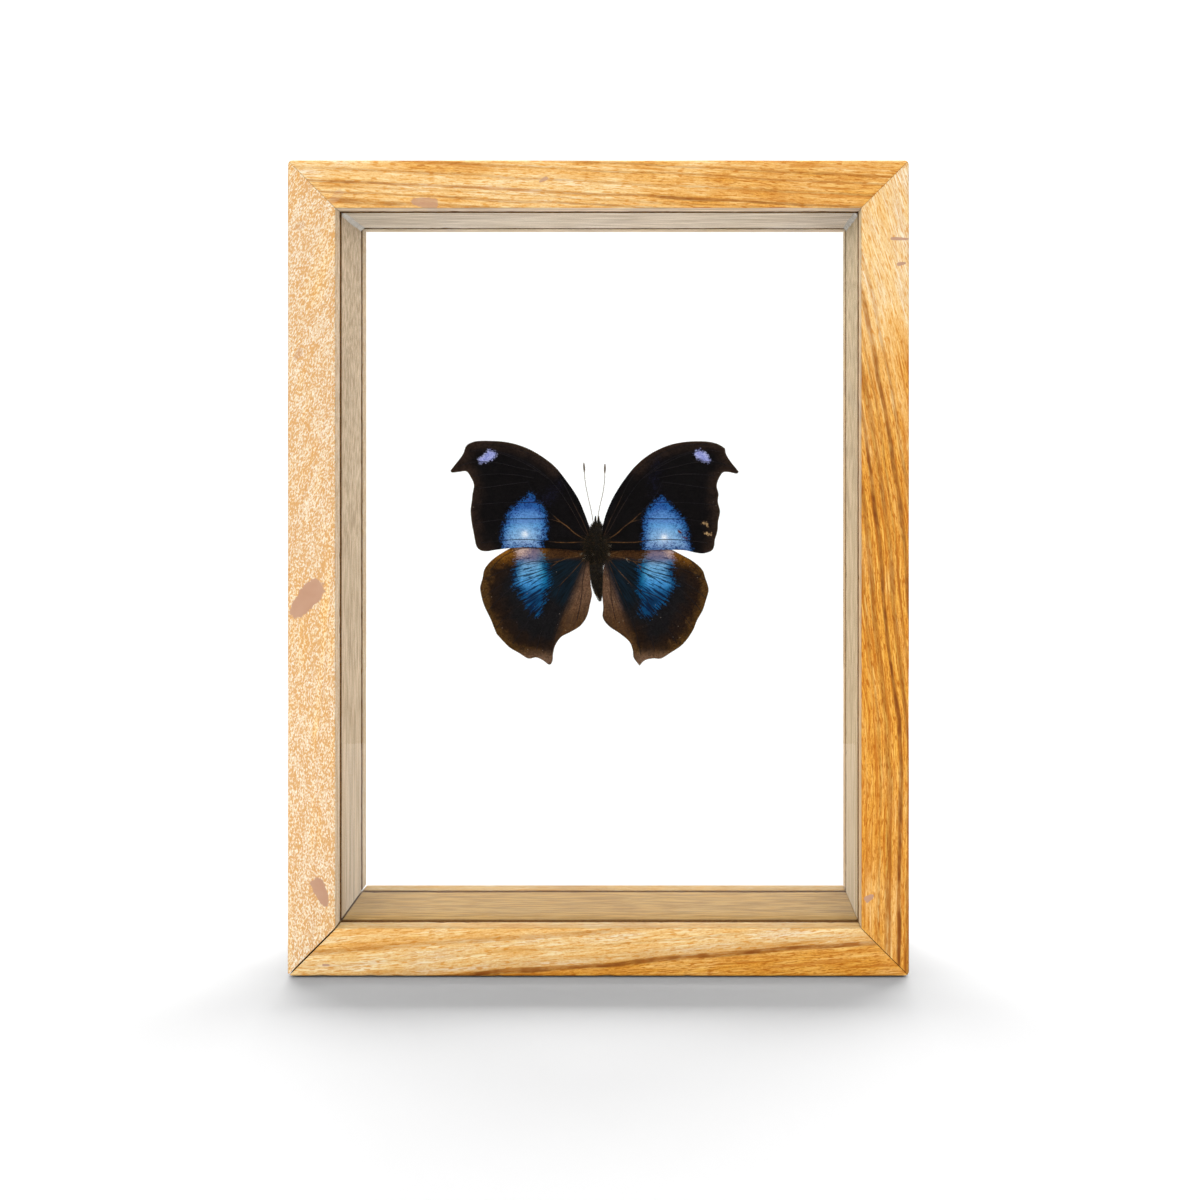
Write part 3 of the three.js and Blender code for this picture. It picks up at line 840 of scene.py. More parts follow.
GLASS = make_glass()
for side in ("glass_front", "glass_back"):
    make_pane(side, GLASS)

# %% [markdown]
# Clear glue was run into the two upper corners. It set as an uneven bead with a hollow
# face. A clean extrusion would look machined, so the bead is swept in fine steps, with
# its legs growing and shrinking on the way.

# %% Glue beads
INNER_SIDE = SIDE - BAR
INNER_TOP = HEIGHT - BAR
GLUE_GAP = 0.05
BEAD_LEG = 0.95
BEAD_REACH = 12.3
BEAD_ROWS = 70
CURVE_POINTS = 9


def make_glue(name, clearness, low, high):
    material, tree, surface = new_material(name)
    cloud = noise(tree, object_place(tree), 900.0, 3.0)
    tone = blend(tree, cloud, low, high)
    shine = fade(tree, cloud, 0.3, 0.8, 0.05, 0.3)
    finish_surface(tree, surface, tone, shine, 0.5, cloud, 0.0001)
    surface.inputs["Transmission Weight"].default_value = clearness
    surface.inputs["IOR"].default_value = 1.46
    return material


def bead_points(side, seed):
    points = []
    for y in np.linspace(-BEAD_REACH, BEAD_REACH, BEAD_ROWS):
        end = min(1.0, 0.35 + min(y + BEAD_REACH, BEAD_REACH - y) / 0.8)
        across = BEAD_LEG * end * (1 + 0.22 * bumps([[y]], 3.0, seed)[0])
        down = BEAD_LEG * end * (1 + 0.22 * bumps([[y]], 2.4, seed + 1)[0])
        throat = 0.34 * BEAD_LEG * (1 + 0.3 * bumps([[y]], 1.7, seed + 2)[0])
        curve = [(0, 0)]
        for t in np.linspace(0, 1, CURVE_POINTS):
            hollow = 2 * t * (1 - t) * throat
            curve.append((hollow + t * t * across, (1 - t) ** 2 * down + hollow))
        for x, z in curve:
            points.append((side * (INNER_SIDE - GLUE_GAP - x), y, INNER_TOP - GLUE_GAP - z))
    return points


GLUE = make_glue("clear_glue", 0.08, (0.6, 0.53, 0.44), (0.86, 0.79, 0.7))
for name, side in (("glue_fillet_left", -1), ("glue_fillet_right", 1)):
    faces = tube_faces(BEAD_ROWS, CURVE_POINTS + 1, side < 0)
    bead = make_piece(name.replace("fillet", "bead"), bead_points(side, 5 + side), faces)
    settle(bead, GLUE, name)


# %% [markdown]
# The butterfly. Its wings are membranes a tenth of a millimetre thick, stretched between
# stiff veins and tiled with scales. Their outlines are the same rings of points that the
# measured model uses, so the dressed wing and the solid one have one silhouette. Each
# ring is a few smooth runs that meet at corners, such as the hooked tip of the forewing.

# %% Wing outlines
SPECIMEN = np.array([-1.5, 0, 109.6])
WING_OUTLINES = {
    "forewing_left": [
        [
            (-2.2, 5.2), (-3.4, 8.5), (-5.3, 12.9), (-8.2, 17.3), (-11.8, 21.7), (-16.4, 25.1),
            (-20.8, 27.2), (-25.2, 28.3), (-29.6, 28.6), (-33.2, 28.5), (-35.4, 27.7),
            (-36.2, 26.8),
        ],
        [(-36.2, 26.8), (-36.8, 25.0), (-38.3, 22.9), (-40.2, 20.5)],
        [
            (-40.2, 20.5), (-39.8, 19.9), (-37.7, 20.1), (-35.9, 20.2), (-34.7, 18.7),
            (-33.8, 16.5), (-34.2, 13.9), (-34.4, 11.8), (-34.7, 9.4), (-34.4, 6.3),
            (-33.8, 3.0), (-33.2, 0.0), (-32.2, -1.3), (-30.4, -1.7), (-27.7, -1.3),
            (-23.5, -0.8), (-18.6, -0.6), (-13.6, -0.9), (-7.6, -1.3), (-2.1, -1.7),
        ],
        [(-2.1, -1.7), (-2.2, 5.2)],
    ],
    "forewing_right": [
        [
            (1.5, 5.2), (2.4, 8.5), (4.3, 12.9), (7.0, 17.3), (10.5, 21.7), (14.4, 24.9),
            (19.1, 27.2), (23.3, 28.2), (27.4, 28.5), (31.0, 28.3), (33.4, 27.6), (35.1, 26.5),
        ],
        [(35.1, 26.5), (35.4, 24.9), (36.7, 22.8), (38.8, 20.2)],
        [
            (38.8, 20.2), (38.3, 19.6), (36.2, 20.0), (34.5, 19.9), (33.4, 18.3), (32.8, 16.2),
            (33.3, 14.0), (33.1, 12.0), (33.7, 9.2), (33.2, 6.6), (33.0, 3.9), (32.3, 1.4),
            (32.1, -0.3), (31.3, -1.6), (29.0, -2.3), (26.6, -2.0), (23.8, -1.4), (19.4, -1.3),
            (11.7, -1.4), (6.2, -1.5), (1.2, -1.7),
        ],
        [(1.2, -1.7), (1.5, 5.2)],
    ],
    "hindwing_left": [
        [
            (-2.9, -0.8), (-7.0, 0.7), (-12.5, 1.4), (-18.0, 1.1), (-22.2, -0.1), (-25.7, -1.9),
            (-29.0, -4.2), (-31.0, -6.7), (-31.5, -9.1), (-32.2, -11.8), (-31.7, -14.6),
            (-31.0, -16.9), (-29.6, -19.8), (-28.6, -22.2), (-27.7, -24.5),
        ],
        [
            (-27.7, -24.5), (-25.7, -26.7), (-23.9, -28.4), (-21.5, -29.8), (-19.0, -31.3),
            (-16.9, -31.0), (-15.0, -31.8), (-13.3, -33.0), (-12.4, -32.1), (-12.2, -30.0),
            (-11.6, -27.7), (-10.0, -25.4), (-7.4, -24.0), (-4.7, -22.3), (-2.9, -19.7),
            (-2.0, -16.2), (-1.5, -13.6), (-1.8, -11.3), (-2.1, -7.4), (-2.3, -3.6),
            (-2.9, -0.8),
        ],
    ],
    "hindwing_right": [
        [
            (2.6, -0.8), (6.7, 0.6), (12.2, 1.1), (16.1, 0.4), (19.7, -1.0), (23.3, -2.8),
            (26.6, -4.7), (28.9, -6.9), (29.7, -9.1), (30.6, -12.2), (29.9, -15.1),
            (29.0, -17.9), (27.4, -20.8), (26.4, -23.3), (25.0, -25.6),
        ],
        [
            (25.0, -25.6), (23.0, -27.8), (20.0, -29.8), (17.5, -31.3), (15.3, -31.3),
            (13.1, -31.8), (11.6, -33.3),
        ],
        [
            (11.6, -33.3), (10.0, -31.1), (9.7, -28.9), (8.8, -26.7), (6.3, -24.5),
            (3.2, -22.4), (1.5, -20.0), (1.6, -17.3), (1.4, -14.0), (1.5, -10.2), (1.8, -5.8),
            (2.6, -0.8),
        ],
    ],
}


def smooth_run(points, longest=0.28):
    points = np.asarray(points, float)
    last = len(points) - 1
    dense = []
    for index in range(last):
        before = points[max(index - 1, 0)]
        here, there = points[index], points[index + 1]
        after = points[min(index + 2, last)]
        leave, arrive = (there - before) / 2, (after - here) / 2
        count = max(2, math.ceil(np.linalg.norm(there - here) / longest))
        for t in np.arange(count)[:, None] / count:
            bend = (2 * here - 2 * there + leave + arrive) * t ** 3
            bend += (-3 * here + 3 * there - 2 * leave - arrive) * t ** 2
            dense.append(bend + leave * t + here)
    return np.array(dense + [points[last]])


for wing, runs in WING_OUTLINES.items():
    print(wing, "has", sum(len(smooth_run(run)) for run in runs), "points round its edge")


# %% [markdown]
# The veins stiffen the membrane and divide its colours, so they are drawn next, from
# root to margin, on the left wings. The right wings carry the same veins mirrored, as
# they do in life, and a little shorter here because the right wings dried smaller.

# %% Veins
VEINS = {
    "forewing": [
        [(-2.3, 2.5), (-4, 6.6), (-6.2, 10.9), (-10, 18.2), (-14.2, 22.4), (-19.7, 25.6),
         (-26.6, 27.4), (-31.8, 27.5)],
        [(-2.3, 1.9), (-4.5, 5.2), (-7.3, 10.2), (-11.4, 16.2), (-15.8, 20.4), (-21.3, 23.7),
         (-27.7, 25.9)],
        [(-2.3, 1.1), (-4, 1.9), (-6.2, 3.3), (-8.1, 5), (-10.3, 6.6), (-12.2, 8.3),
         (-14.9, 10.9), (-17.8, 14.9), (-19.1, 17.9)],
        [(-13.6, 18.4), (-19.1, 22), (-25.5, 24.8), (-31.2, 26.1), (-35.1, 25.6)],
        [(-15.5, 20.1), (-21.3, 21.2), (-27.7, 22.6), (-33.7, 22.8), (-38.4, 21.5)],
        [(-17.5, 18.4), (-22.7, 19.3), (-28.2, 19.5), (-34, 19)],
        [(-18.9, 17.3), (-23.5, 16.8), (-29, 16), (-34.0, 15.4)],
        [(-14.2, 10.2), (-15.8, 11.6), (-20.5, 11.7), (-26.8, 11.6), (-34, 11)],
        [(-10, 6.3), (-13.3, 7.1), (-18.6, 7.2), (-24.9, 7.1), (-29.6, 6.6), (-33.7, 5.8)],
        [(-2.3, 0.3), (-3.7, 0.8), (-7.6, 0.7), (-11.4, 0.8), (-15.5, 1.3), (-18.6, 1.5),
         (-22.7, 1.5), (-27.4, 1.1), (-31.8, 0.6)],
    ],
    "hindwing": [
        [(-3.7, -2.8), (-7, -1.7), (-11.7, -1), (-16.4, -0.7), (-21.3, -1.1), (-26, -3.3),
         (-29.3, -6.9)],
        [(-3.7, -2.8), (-8.1, -3.6), (-10.3, -4.4), (-13.6, -4.8), (-17.2, -4.5),
         (-22.4, -5.9), (-27.4, -7.7), (-31.1, -9.6)],
        [(-10.6, -4.5), (-12.5, -5.8), (-14.4, -6.6), (-16.9, -7.6), (-20, -8.3), (-23, -9.2),
         (-27.7, -11.8), (-31.4, -14.6)],
        [(-12.5, -6.1), (-13.3, -7.4), (-15.8, -8.4), (-19.1, -9.6), (-22.4, -11),
         (-26.8, -14.6), (-30.0, -18.2)],
        [(-3.4, -3.6), (-4.8, -5.2), (-7.3, -8), (-8.9, -9.6), (-10.3, -11), (-12.5, -12.4)],
        [(-12.5, -12.4), (-14.7, -13.2), (-16.9, -14), (-18.6, -15), (-21.9, -17.1),
         (-25.5, -20.1), (-27.9, -23.0)],
        [(-12, -12.1), (-13.1, -13.5), (-14.2, -14.6), (-15.5, -16.8), (-17.5, -19),
         (-20.2, -22.8), (-23.2, -27.2)],
        [(-9.8, -10.5), (-11.1, -13.8), (-13.1, -18.4), (-15.3, -23.4), (-16.7, -28.9)],
        [(-3.4, -4.1), (-5.9, -10.5), (-8.1, -15.1), (-10.3, -20.6), (-11.7, -25),
         (-12.8, -30.3)],
        [(-3.2, -4.7), (-4, -9.6), (-4.5, -15.1), (-5.6, -20.6)],
    ],
}
RIGHT_SCALE = 0.965
RIGHT_SHIFT = -0.4
# How amber each vein is near the body. The rest of it is black.
AMBER_VEINS = {
    "forewing": [0.3, 0.12, 1, 0.1, 0.1, 0.1, 0.1, 0.3, 0.6, 1],
    "hindwing": [0.8, 1, 0.9, 0.8, 0.7, 0.5, 0.5, 0.3, 0.3, 0.2],
}


def veins_of(wing):
    kind, side = wing.split("_")
    runs = [smooth_run(run, 0.5) for run in VEINS[kind]]
    if side == "left":
        return runs
    return [run * (-RIGHT_SCALE, 1) + (RIGHT_SHIFT, 0) for run in runs]


print("veins of a forewing:", len(veins_of("forewing_left")))


# %% [markdown]
# The markings are drawn as closed outlines, point by point, the way a sign painter would
# pounce them on to the wing. A point's signed distance from such an outline, plus inside
# and minus outside, is what the material needs to shade an edge of any softness.

# %% Markings
MARKINGS = {
    "forewing_left": {
        "band": [
            (-26.3, -1.6), (-26.3, 3.6), (-26, 5.2), (-25.2, 7), (-24.9, 8.5), (-24.1, 9.8),
            (-23, 10.7), (-22.4, 11.7), (-20.8, 12.4), (-19.7, 13.3), (-18.6, 14.3),
            (-17.8, 14.3), (-16.9, 13.3), (-16.4, 12.1), (-15.3, 11.4), (-14.4, 9.9),
            (-13.8, 8.5), (-13.6, 4.1), (-13.6, 1.9), (-15, 0.8), (-14.2, -1.6),
        ],
        "spot": [
            (-32.7, 23.7), (-31.2, 24.9), (-29.9, 26.4), (-28.8, 26.4), (-27.4, 25.5),
            (-27.9, 23.9), (-28.8, 23.1), (-31.2, 22.4), (-32.3, 22.4),
        ],
        "dusting": [
            (-16.9, 13.2), (-13.6, 15.1), (-10.3, 17.9), (-9.5, 16.2), (-11.4, 12.4),
            (-13.6, 10.5), (-15.5, 11.6),
        ],
    },
    "forewing_right": {
        "band": [
            (12.4, -1.8), (12.5, 6.3), (13.1, 9.2), (13.9, 10.2), (15, 11.3), (15.5, 12.4),
            (17.5, 13.5), (19.1, 12.5), (20, 11.6), (21.6, 9.6), (23.8, 7.4), (25, 4.1),
            (25.5, 1.4), (26.3, -2.2),
        ],
        "spot": [
            (26.3, 25.2), (27.1, 26.3), (28.2, 26.6), (30.4, 24.9), (31.5, 23.1),
            (30.7, 22.4), (29.3, 22.6), (27.1, 23.8),
        ],
        "dusting": [(15.6, 12.4), (14.3, 17), (14.8, 22), (16.8, 25.2), (17.4, 21), (17, 13.5)],
        "worn": [(28.5, 5.9), (29.4, 6.7), (30.4, 6.2), (30.6, 5.1), (29.9, 5.0), (29.6, 5.6)],
        "worn_low": [(29.1, 3.5), (30.2, 3.5), (31.6, 3.3), (31.5, 2.6), (29.8, 2.7)],
        "scratch": [(21.9, 4.1), (22.4, 4.3), (23.5, 3.3), (23.2, 2.9), (22.3, 3.3)],
        "scratch_low": [(23.2, 2.6), (24.7, 2.1), (25.1, 1.4), (24.6, 1.4), (23.1, 2.1)],
        "scratch_dot": [(24.2, 3.5), (24.9, 3.4), (24.8, 2.9)],
    },
    "hindwing_left": {
        "band": [
            (-21.0, 1.6), (-21.9, -4.1), (-22.4, -6.1), (-23, -9.6), (-23.3, -11),
            (-21.6, -12.4), (-20.5, -14.3), (-19.4, -16.2), (-18.3, -18.4), (-15.8, -19),
            (-15.3, -16.5), (-13.9, -12.9), (-13.3, -11), (-13.3, -8.3), (-13.9, -6.1),
            (-14.4, -4.1), (-15.5, -1.9), (-15.8, 1.6),
        ],
        "cream": [
            (-22.6, 1), (-22.6, -2.6), (-21.6, -3.6), (-19.6, -3.1), (-18.4, -1.7), (-18.4, 1),
        ],
        "fold": [
            (-3.2, -3), (-3.7, -5), (-6.2, -11), (-8.1, -15.1), (-10.3, -20.6), (-12, -25.3),
            (-12.5, -28.9), (-13.6, -34.8), (-9, -34.8), (-9, -26.1), (-5, -24.9),
            (0.8, -18.4), (0.8, -3),
        ],
    },
    "hindwing_right": {
        "band": [
            (14.6, 1.6), (13.9, -2.8), (13.1, -3.6), (12, -5), (11.4, -6.9), (11.4, -9.6),
            (12, -14.3), (12.5, -16.5), (12, -18.7), (14.4, -20.1), (15.5, -18.4),
            (17.2, -17.1), (19.4, -14), (20.2, -12.4), (21.6, -11.6), (20.2, -8.3),
            (20.5, -6.1), (20.7, -4.1), (20.7, 1.6),
        ],
        "cream": [(18.2, 1), (18.2, -2.4), (19.6, -3.5), (20.9, -2.9), (21.2, 1)],
        "fold": [
            (1.8, -3), (2.3, -5), (4.3, -9.6), (6.2, -14.6), (8.4, -20.1), (10, -25),
            (10.9, -28.9), (11.9, -35), (7.3, -35), (7.3, -26.1), (4, -25), (-1, -18.4),
            (-1, -3),
        ],
    },
}


def distance_to_line(places, line, block=4000):
    start, ahead = line[:-1], np.diff(line, axis=0)
    length = np.maximum((ahead ** 2).sum(1), 1e-12)
    nearest = np.empty(len(places))
    for first in range(0, len(places), block):
        away = places[first:first + block, None, :] - start
        share = np.clip((away * ahead).sum(2) / length, 0, 1)
        left = away - share[..., None] * ahead
        nearest[first:first + block] = np.sqrt((left ** 2).sum(2).min(1))
    return nearest


def is_inside(places, ring):
    inside = np.zeros(len(places), bool)
    for (x0, z0), (x1, z1) in zip(ring, np.roll(ring, -1, 0)):
        spans = (z0 > places[:, 1]) != (z1 > places[:, 1])
        if spans.any():
            crossing = x0 + (places[spans, 1] - z0) / (z1 - z0) * (x1 - x0)
            inside[spans] ^= places[spans, 0] < crossing
    return inside


def inside_by(places, ring):
    ring = np.asarray(ring, float)
    away = distance_to_line(places, np.vstack([ring, ring[:1]]))
    return np.where(is_inside(places, ring), away, -away)


print("markings:", {wing: sorted(shapes) for wing, shapes in MARKINGS.items()})

# %% [markdown]
# Where the wing lies. Both wings of a side are almost flat, sweep a little forwards
# towards the tip and are hollow across. The forewing lies over the hindwing. Between the
# veins the membrane sinks a little, like cloth between tent poles.

# %% Place of the membrane
# How far back each wing's root lies, how hollow it is, and the height of its hollow.
WING_REST = {"forewing": (6.0, 0.0009, 8), "hindwing": (6.9, 0.0012, -12)}
SWEEP = 0.03
SWEEP_EASE = 0.0004
HALF_MEMBRANE = 0.1


def membrane_y(kind, x, z):
    root, hollow, hollow_z = WING_REST[kind]
    sweep = SWEEP * np.abs(x) - SWEEP_EASE * x * x
    return root - sweep + hollow * (z - hollow_z) ** 2


print("forewing tip lies at", round(membrane_y("forewing", 40, 20), 2), "mm")

# %% [markdown]
# A wing is cut like a sheet of paper: its outline, filled with evenly spread points a
# quarter of a millimetre apart, is joined up into triangles. A plain grid would leave
# stairs along the margin. The back is the same sheet moved behind the front, and the two
# are sewn together round the rim. The veins are tapered rods let into the sheet.

# %% Cut the sheet
SPACING = 0.27
ROW_HEIGHT = 0.87
CLEAR_OF_RIM = 0.55


def wing_sheet(runs):
    ring = np.vstack([smooth_run(run)[:-1] for run in runs])
    low, high = ring.min(0), ring.max(0)
    rows = []
    for number, z in enumerate(np.arange(low[1], high[1], SPACING * ROW_HEIGHT)):
        x = np.arange(low[0] + SPACING * (number % 2) / 2, high[0], SPACING)
        rows.append(np.stack([x, np.full(len(x), z)], 1))
    fill = np.vstack(rows)
    fill = fill[inside_by(fill, ring) > SPACING * CLEAR_OF_RIM]
    places = np.vstack([ring, fill])
    loop = list(range(len(ring)))
    edges = [(i, (i + 1) % len(ring)) for i in loop]
    cut = delaunay_2d_cdt([Vector(p) for p in places], edges, [], 1, 1e-7)
    places = np.array([tuple(p) for p in cut[0]])
    return places, [tuple(face) for face in cut[2]], len(ring)


ROD_SIDES = 6
ROD_ROOT = 0.15
ROD_TAPER = 0.09
ROD_FLATNESS = 0.75


def vein_rods(kind, runs, ring):
    points, faces = [], []
    for run in runs:
        run = run[is_inside(run, ring)]
        if len(run) < 3:
            continue
        share = np.linspace(0, 1, len(run))
        thick = ROD_ROOT - ROD_TAPER * share ** 0.7
        ahead = np.gradient(run, axis=0)
        ahead /= np.linalg.norm(ahead, axis=1)[:, None]
        beside = np.stack([-ahead[:, 1], ahead[:, 0]], 1)
        first = len(points)
        for row in range(len(run)):
            middle = membrane_y(kind, *run[row])
            high = HALF_MEMBRANE + thick[row] * ROD_FLATNESS
            for angle in np.arange(ROD_SIDES) / ROD_SIDES * 2 * math.pi:
                x, z = run[row] + beside[row] * math.cos(angle) * thick[row]
                points.append((x, middle + math.sin(angle) * high, z))
        faces += [[first + corner for corner in face] for face in tube_faces(len(run), ROD_SIDES)]
    return np.array(points), faces


# %% [markdown]
# Every point of a wing now learns where it is: how far from the body, from the nearest
# vein, from the margin, from each marking and from the painted highlight on the forewing.
# The recipes for the colours read nothing else. A marking that a wing doesn't have is
# simply far away everywhere.

# %% What each point of a wing knows
# A painted highlight: a pale spot in each forewing's blue band, standing in for light glancing off
# the scales.
PAINTED_HIGHLIGHT = {"forewing_left": (-19.8, 3.0), "forewing_right": (18.4, 2.1)}
NO_PAINTED_HIGHLIGHT = (0, 90)
FAR = -20.0
FAN_WIDTH = 14
ROOT_HEIGHT = {"forewing": 2, "hindwing": -2}
RIGHT_BAND_NEARER = 2.5
LABELS = ("band", "spot", "dusting", "cream", "fold", "worn", "scratch")


# The rim from the shoulder of the wing outwards, without its front edge and its root.
def edge_line(wing):
    runs = WING_OUTLINES[wing]
    if wing.startswith("forewing"):
        shoulder = smooth_run(runs[0])[70:]
        return np.vstack([shoulder, smooth_run(runs[1]), smooth_run(runs[2][:14])])
    rest = runs[1][:9] if wing.endswith("left") else runs[1] + runs[2][1:4]
    return np.vstack([smooth_run(runs[0][3:]), smooth_run(rest)])


def wing_marks(wing, places, runs, is_back):
    kind, side = wing.split("_")
    centre = places - (0, ROOT_HEIGHT[kind])
    reach = np.hypot(centre[:, 0], centre[:, 1])
    turn = np.arctan2(centre[:, 1], centre[:, 0] * (1 if side == "right" else -1))
    away = np.stack([distance_to_line(places, run) for run in runs])
    glow = np.hypot(*(places - PAINTED_HIGHLIGHT.get(wing, NO_PAINTED_HIGHLIGHT)).T)
    marks = {
        "under": is_back,
        "root": reach,
        "vein": away.min(0),
        "amber": np.array(AMBER_VEINS[kind])[away.argmin(0)],
        "fan": np.stack([turn * FAN_WIDTH, reach, is_back], 1),
        "aside": np.abs(places[:, 0]) + (RIGHT_BAND_NEARER if side == "right" else 0),
        "glow": 0.8 * np.exp(-(glow / 0.8) ** 2) + 0.2 * np.exp(-(glow / 2.4) ** 2),
        "margin": distance_to_line(places, edge_line(wing)),
    }
    for label in LABELS:
        shapes = [ring for name, ring in MARKINGS[wing].items() if name.startswith(label)]
        inside = [inside_by(places, ring) for ring in shapes]
        marks[label] = np.max(inside + [np.full(len(places), FAR)], axis=0)
    return marks


# %% [markdown]
# The sheet, its back, the strip round the rim and the veins become one mesh, because a
# wing grew as one piece.

# %% Build a wing
SAG = 0.1
SAG_OVER = 1.6
CRINKLE = 0.07


def make_wing(wing):
    kind = wing.split("_")[0]
    places, triangles, rim = wing_sheet(WING_OUTLINES[wing])
    veins = veins_of(wing)
    near_vein = np.min([distance_to_line(places, run) for run in veins], axis=0)
    sag = SAG * np.clip(near_vein / SAG_OVER, 0, 1) ** 2 + CRINKLE * bumps(places, 5.0, 3)
    lie = membrane_y(kind, places[:, 0], places[:, 1]) + sag
    count = len(places)
    front = np.stack([places[:, 0], lie - HALF_MEMBRANE, places[:, 1]], 1)
    back = np.stack([places[:, 0], lie + HALF_MEMBRANE, places[:, 1]], 1)
    faces = [tuple(face) for face in triangles]
    faces += [tuple(corner + count for corner in face[::-1]) for face in triangles]
    faces += [(i, i + count, (i + 1) % rim + count, (i + 1) % rim) for i in range(rim)]
    rods, rod_faces = vein_rods(kind, veins, places[:rim])
    faces += [tuple(corner + 2 * count for corner in face) for face in rod_faces]
    points = np.vstack([front, back, rods])
    is_back = np.concatenate([np.zeros(count), np.ones(count), np.zeros(len(rods))])
    is_back[2 * count:] = rods[:, 1] > membrane_y(kind, rods[:, 0], rods[:, 2])
    marks = wing_marks(wing, points[:, [0, 2]], veins, is_back)
    return make_piece(wing.replace("wing", "wing_scaled"), points + SPECIMEN, faces, marks)


# %% [markdown]
# Scales are dust-fine tiles in rows across the wing. At arm's length they show as a fine
# grain and as frayed, speckled borders where one colour meets the next. A cell pattern
# gives each tile its own tone, and every border is then decided tile by tile.

# %% Scale groups
def make_scale_rows():
    gives = [("Tone", "Float"), ("Height", "Float"), ("Cloud", "Float"), ("Streak", "Float")]
    gives.append(("Speck", "Float"))
    takes = [("Vector", "Vector"), ("Fan", "Vector")]
    tree, given, out = new_group("scale_rows", takes, gives)
    place = stretch(tree, given["Vector"], (1000, 1000, 1000))

    def cells(size):
        made = node(tree, "TexVoronoi", {"Vector": place, "Scale": 1 / size})
        return made.outputs, node(tree, "SeparateColor", {0: made.outputs["Color"]}).outputs

    fine, fine_tone = cells(0.2)
    clump_tone = cells(0.42)[1]
    dust, dust_tone = cells(1.8)
    near = fade(tree, dust["Distance"], 0.03, 0.09, 1.0, 0.0)
    streak = noise(tree, stretch(tree, given["Fan"], (3.0, 0.22, 1.0)), 1.0, 2.0)
    finest = times(tree, fine_tone[0], 0.5)
    feed(tree, out["Tone"], maths(tree, "MULTIPLY_ADD", clump_tone[0], 0.5, finest))
    feed(tree, out["Height"], fine["Distance"])
    feed(tree, out["Cloud"], noise(tree, place, 0.45, 3.0))
    feed(tree, out["Streak"], fade(tree, streak, 0.3, 0.7))
    feed(tree, out["Speck"], times(tree, near, maths(tree, "GREATER_THAN", dust_tone[1], 0.35)))
    return tree


def make_frayed_edge():
    takes = [("Inside", "Float"), ("Tone", "Float"), ("Streak", "Float"), ("Softness", "Float")]
    tree, given, out = new_group("frayed_edge", takes, [("Mask", "Float")])
    share = maths(tree, "DIVIDE", given["Inside"], given["Softness"])
    lifted = maths(tree, "MULTIPLY_ADD", given["Tone"], 0.8, share)
    lifted = maths(tree, "MULTIPLY_ADD", given["Streak"], 0.5, lifted)
    feed(tree, out["Mask"], fade(tree, lifted, 0.3, 0.95))
    return tree


SCALE_ROWS = make_scale_rows()
FRAYED_EDGE = make_frayed_edge()
print("scale groups have", len(SCALE_ROWS.nodes), "and", len(FRAYED_EDGE.nodes), "nodes")


# %% [markdown]
# Both wing recipes begin in the same way, with the tiles, the place on the wing and a
# helper that frays the outline of any marking, and both end with the veins, the dust and
# the leaf-brown underside. So these parts are written once.

# %% What both wing materials share
AMBER_UNTIL = 12.5
AMBER_FADE = 3


def begin_wing(name, comb):
    material, tree, surface = new_material(name)
    place = object_place(tree)
    local = node(tree, "Mapping", {"Vector": place, "Location": tuple(-SPECIMEN * MM)})
    feeds = {"Vector": place, "Fan": mark(tree, "fan", "Vector")}
    scales = use_group(tree, SCALE_ROWS, feeds)
    height = node(tree, "SeparateXYZ", {0: local.outputs[0]}).outputs["Z"]

    def frayed(label, softness):
        feeds = {"Inside": mark(tree, label), "Tone": scales["Tone"], "Softness": softness}
        feeds["Streak"] = times(tree, scales["Streak"], comb)
        return use_group(tree, FRAYED_EDGE, feeds)["Mask"]

    return material, tree, surface, scales, height, frayed


def finish_wing(tree, surface, scales, colour):
    tone, streak = scales["Tone"], scales["Streak"]
    line = fade(tree, mark(tree, "vein"), 0.06, 0.2, 0.85, 0.0)
    amber = blend(tree, tone, (0.045, 0.02, 0.006), (0.2, 0.095, 0.028))
    dark = blend(tree, tone, (0.003, 0.003, 0.005), (0.014, 0.011, 0.012))
    worn = maths(tree, "MULTIPLY_ADD", streak, 3.0, mark(tree, "root"))
    near_body = fade(tree, worn, AMBER_UNTIL, AMBER_UNTIL + AMBER_FADE, 1.0, 0.0)
    patchy = times(tree, mark(tree, "amber"), fade(tree, scales["Cloud"], 0.35, 0.6, 0.3, 1.0))
    bare = times(tree, near_body, patchy)
    amber = blend(tree, bare, dark, amber)
    colour = blend(tree, line, colour, amber)
    colour = blend(tree, times(tree, scales["Speck"], 0.6), colour, (0.3, 0.25, 0.2))
    leaf = blend(tree, scales["Cloud"], (0.05, 0.03, 0.016), (0.14, 0.095, 0.055))
    leaf = blend(tree, fade(tree, streak, 0.0, 1.0, 0.0, 0.5), leaf, (0.035, 0.02, 0.01))
    colour = blend(tree, mark(tree, "under"), colour, leaf)
    finish_surface(tree, surface, colour, 0.7, 0.03, scales["Height"], 0.00006)


# %% [markdown]
# The forewing's recipe starts near black and adds, one after another, the brown margin,
# the blue band with a painted highlight in it, the violet spot, the veins and the places
# where the scales have worn off.

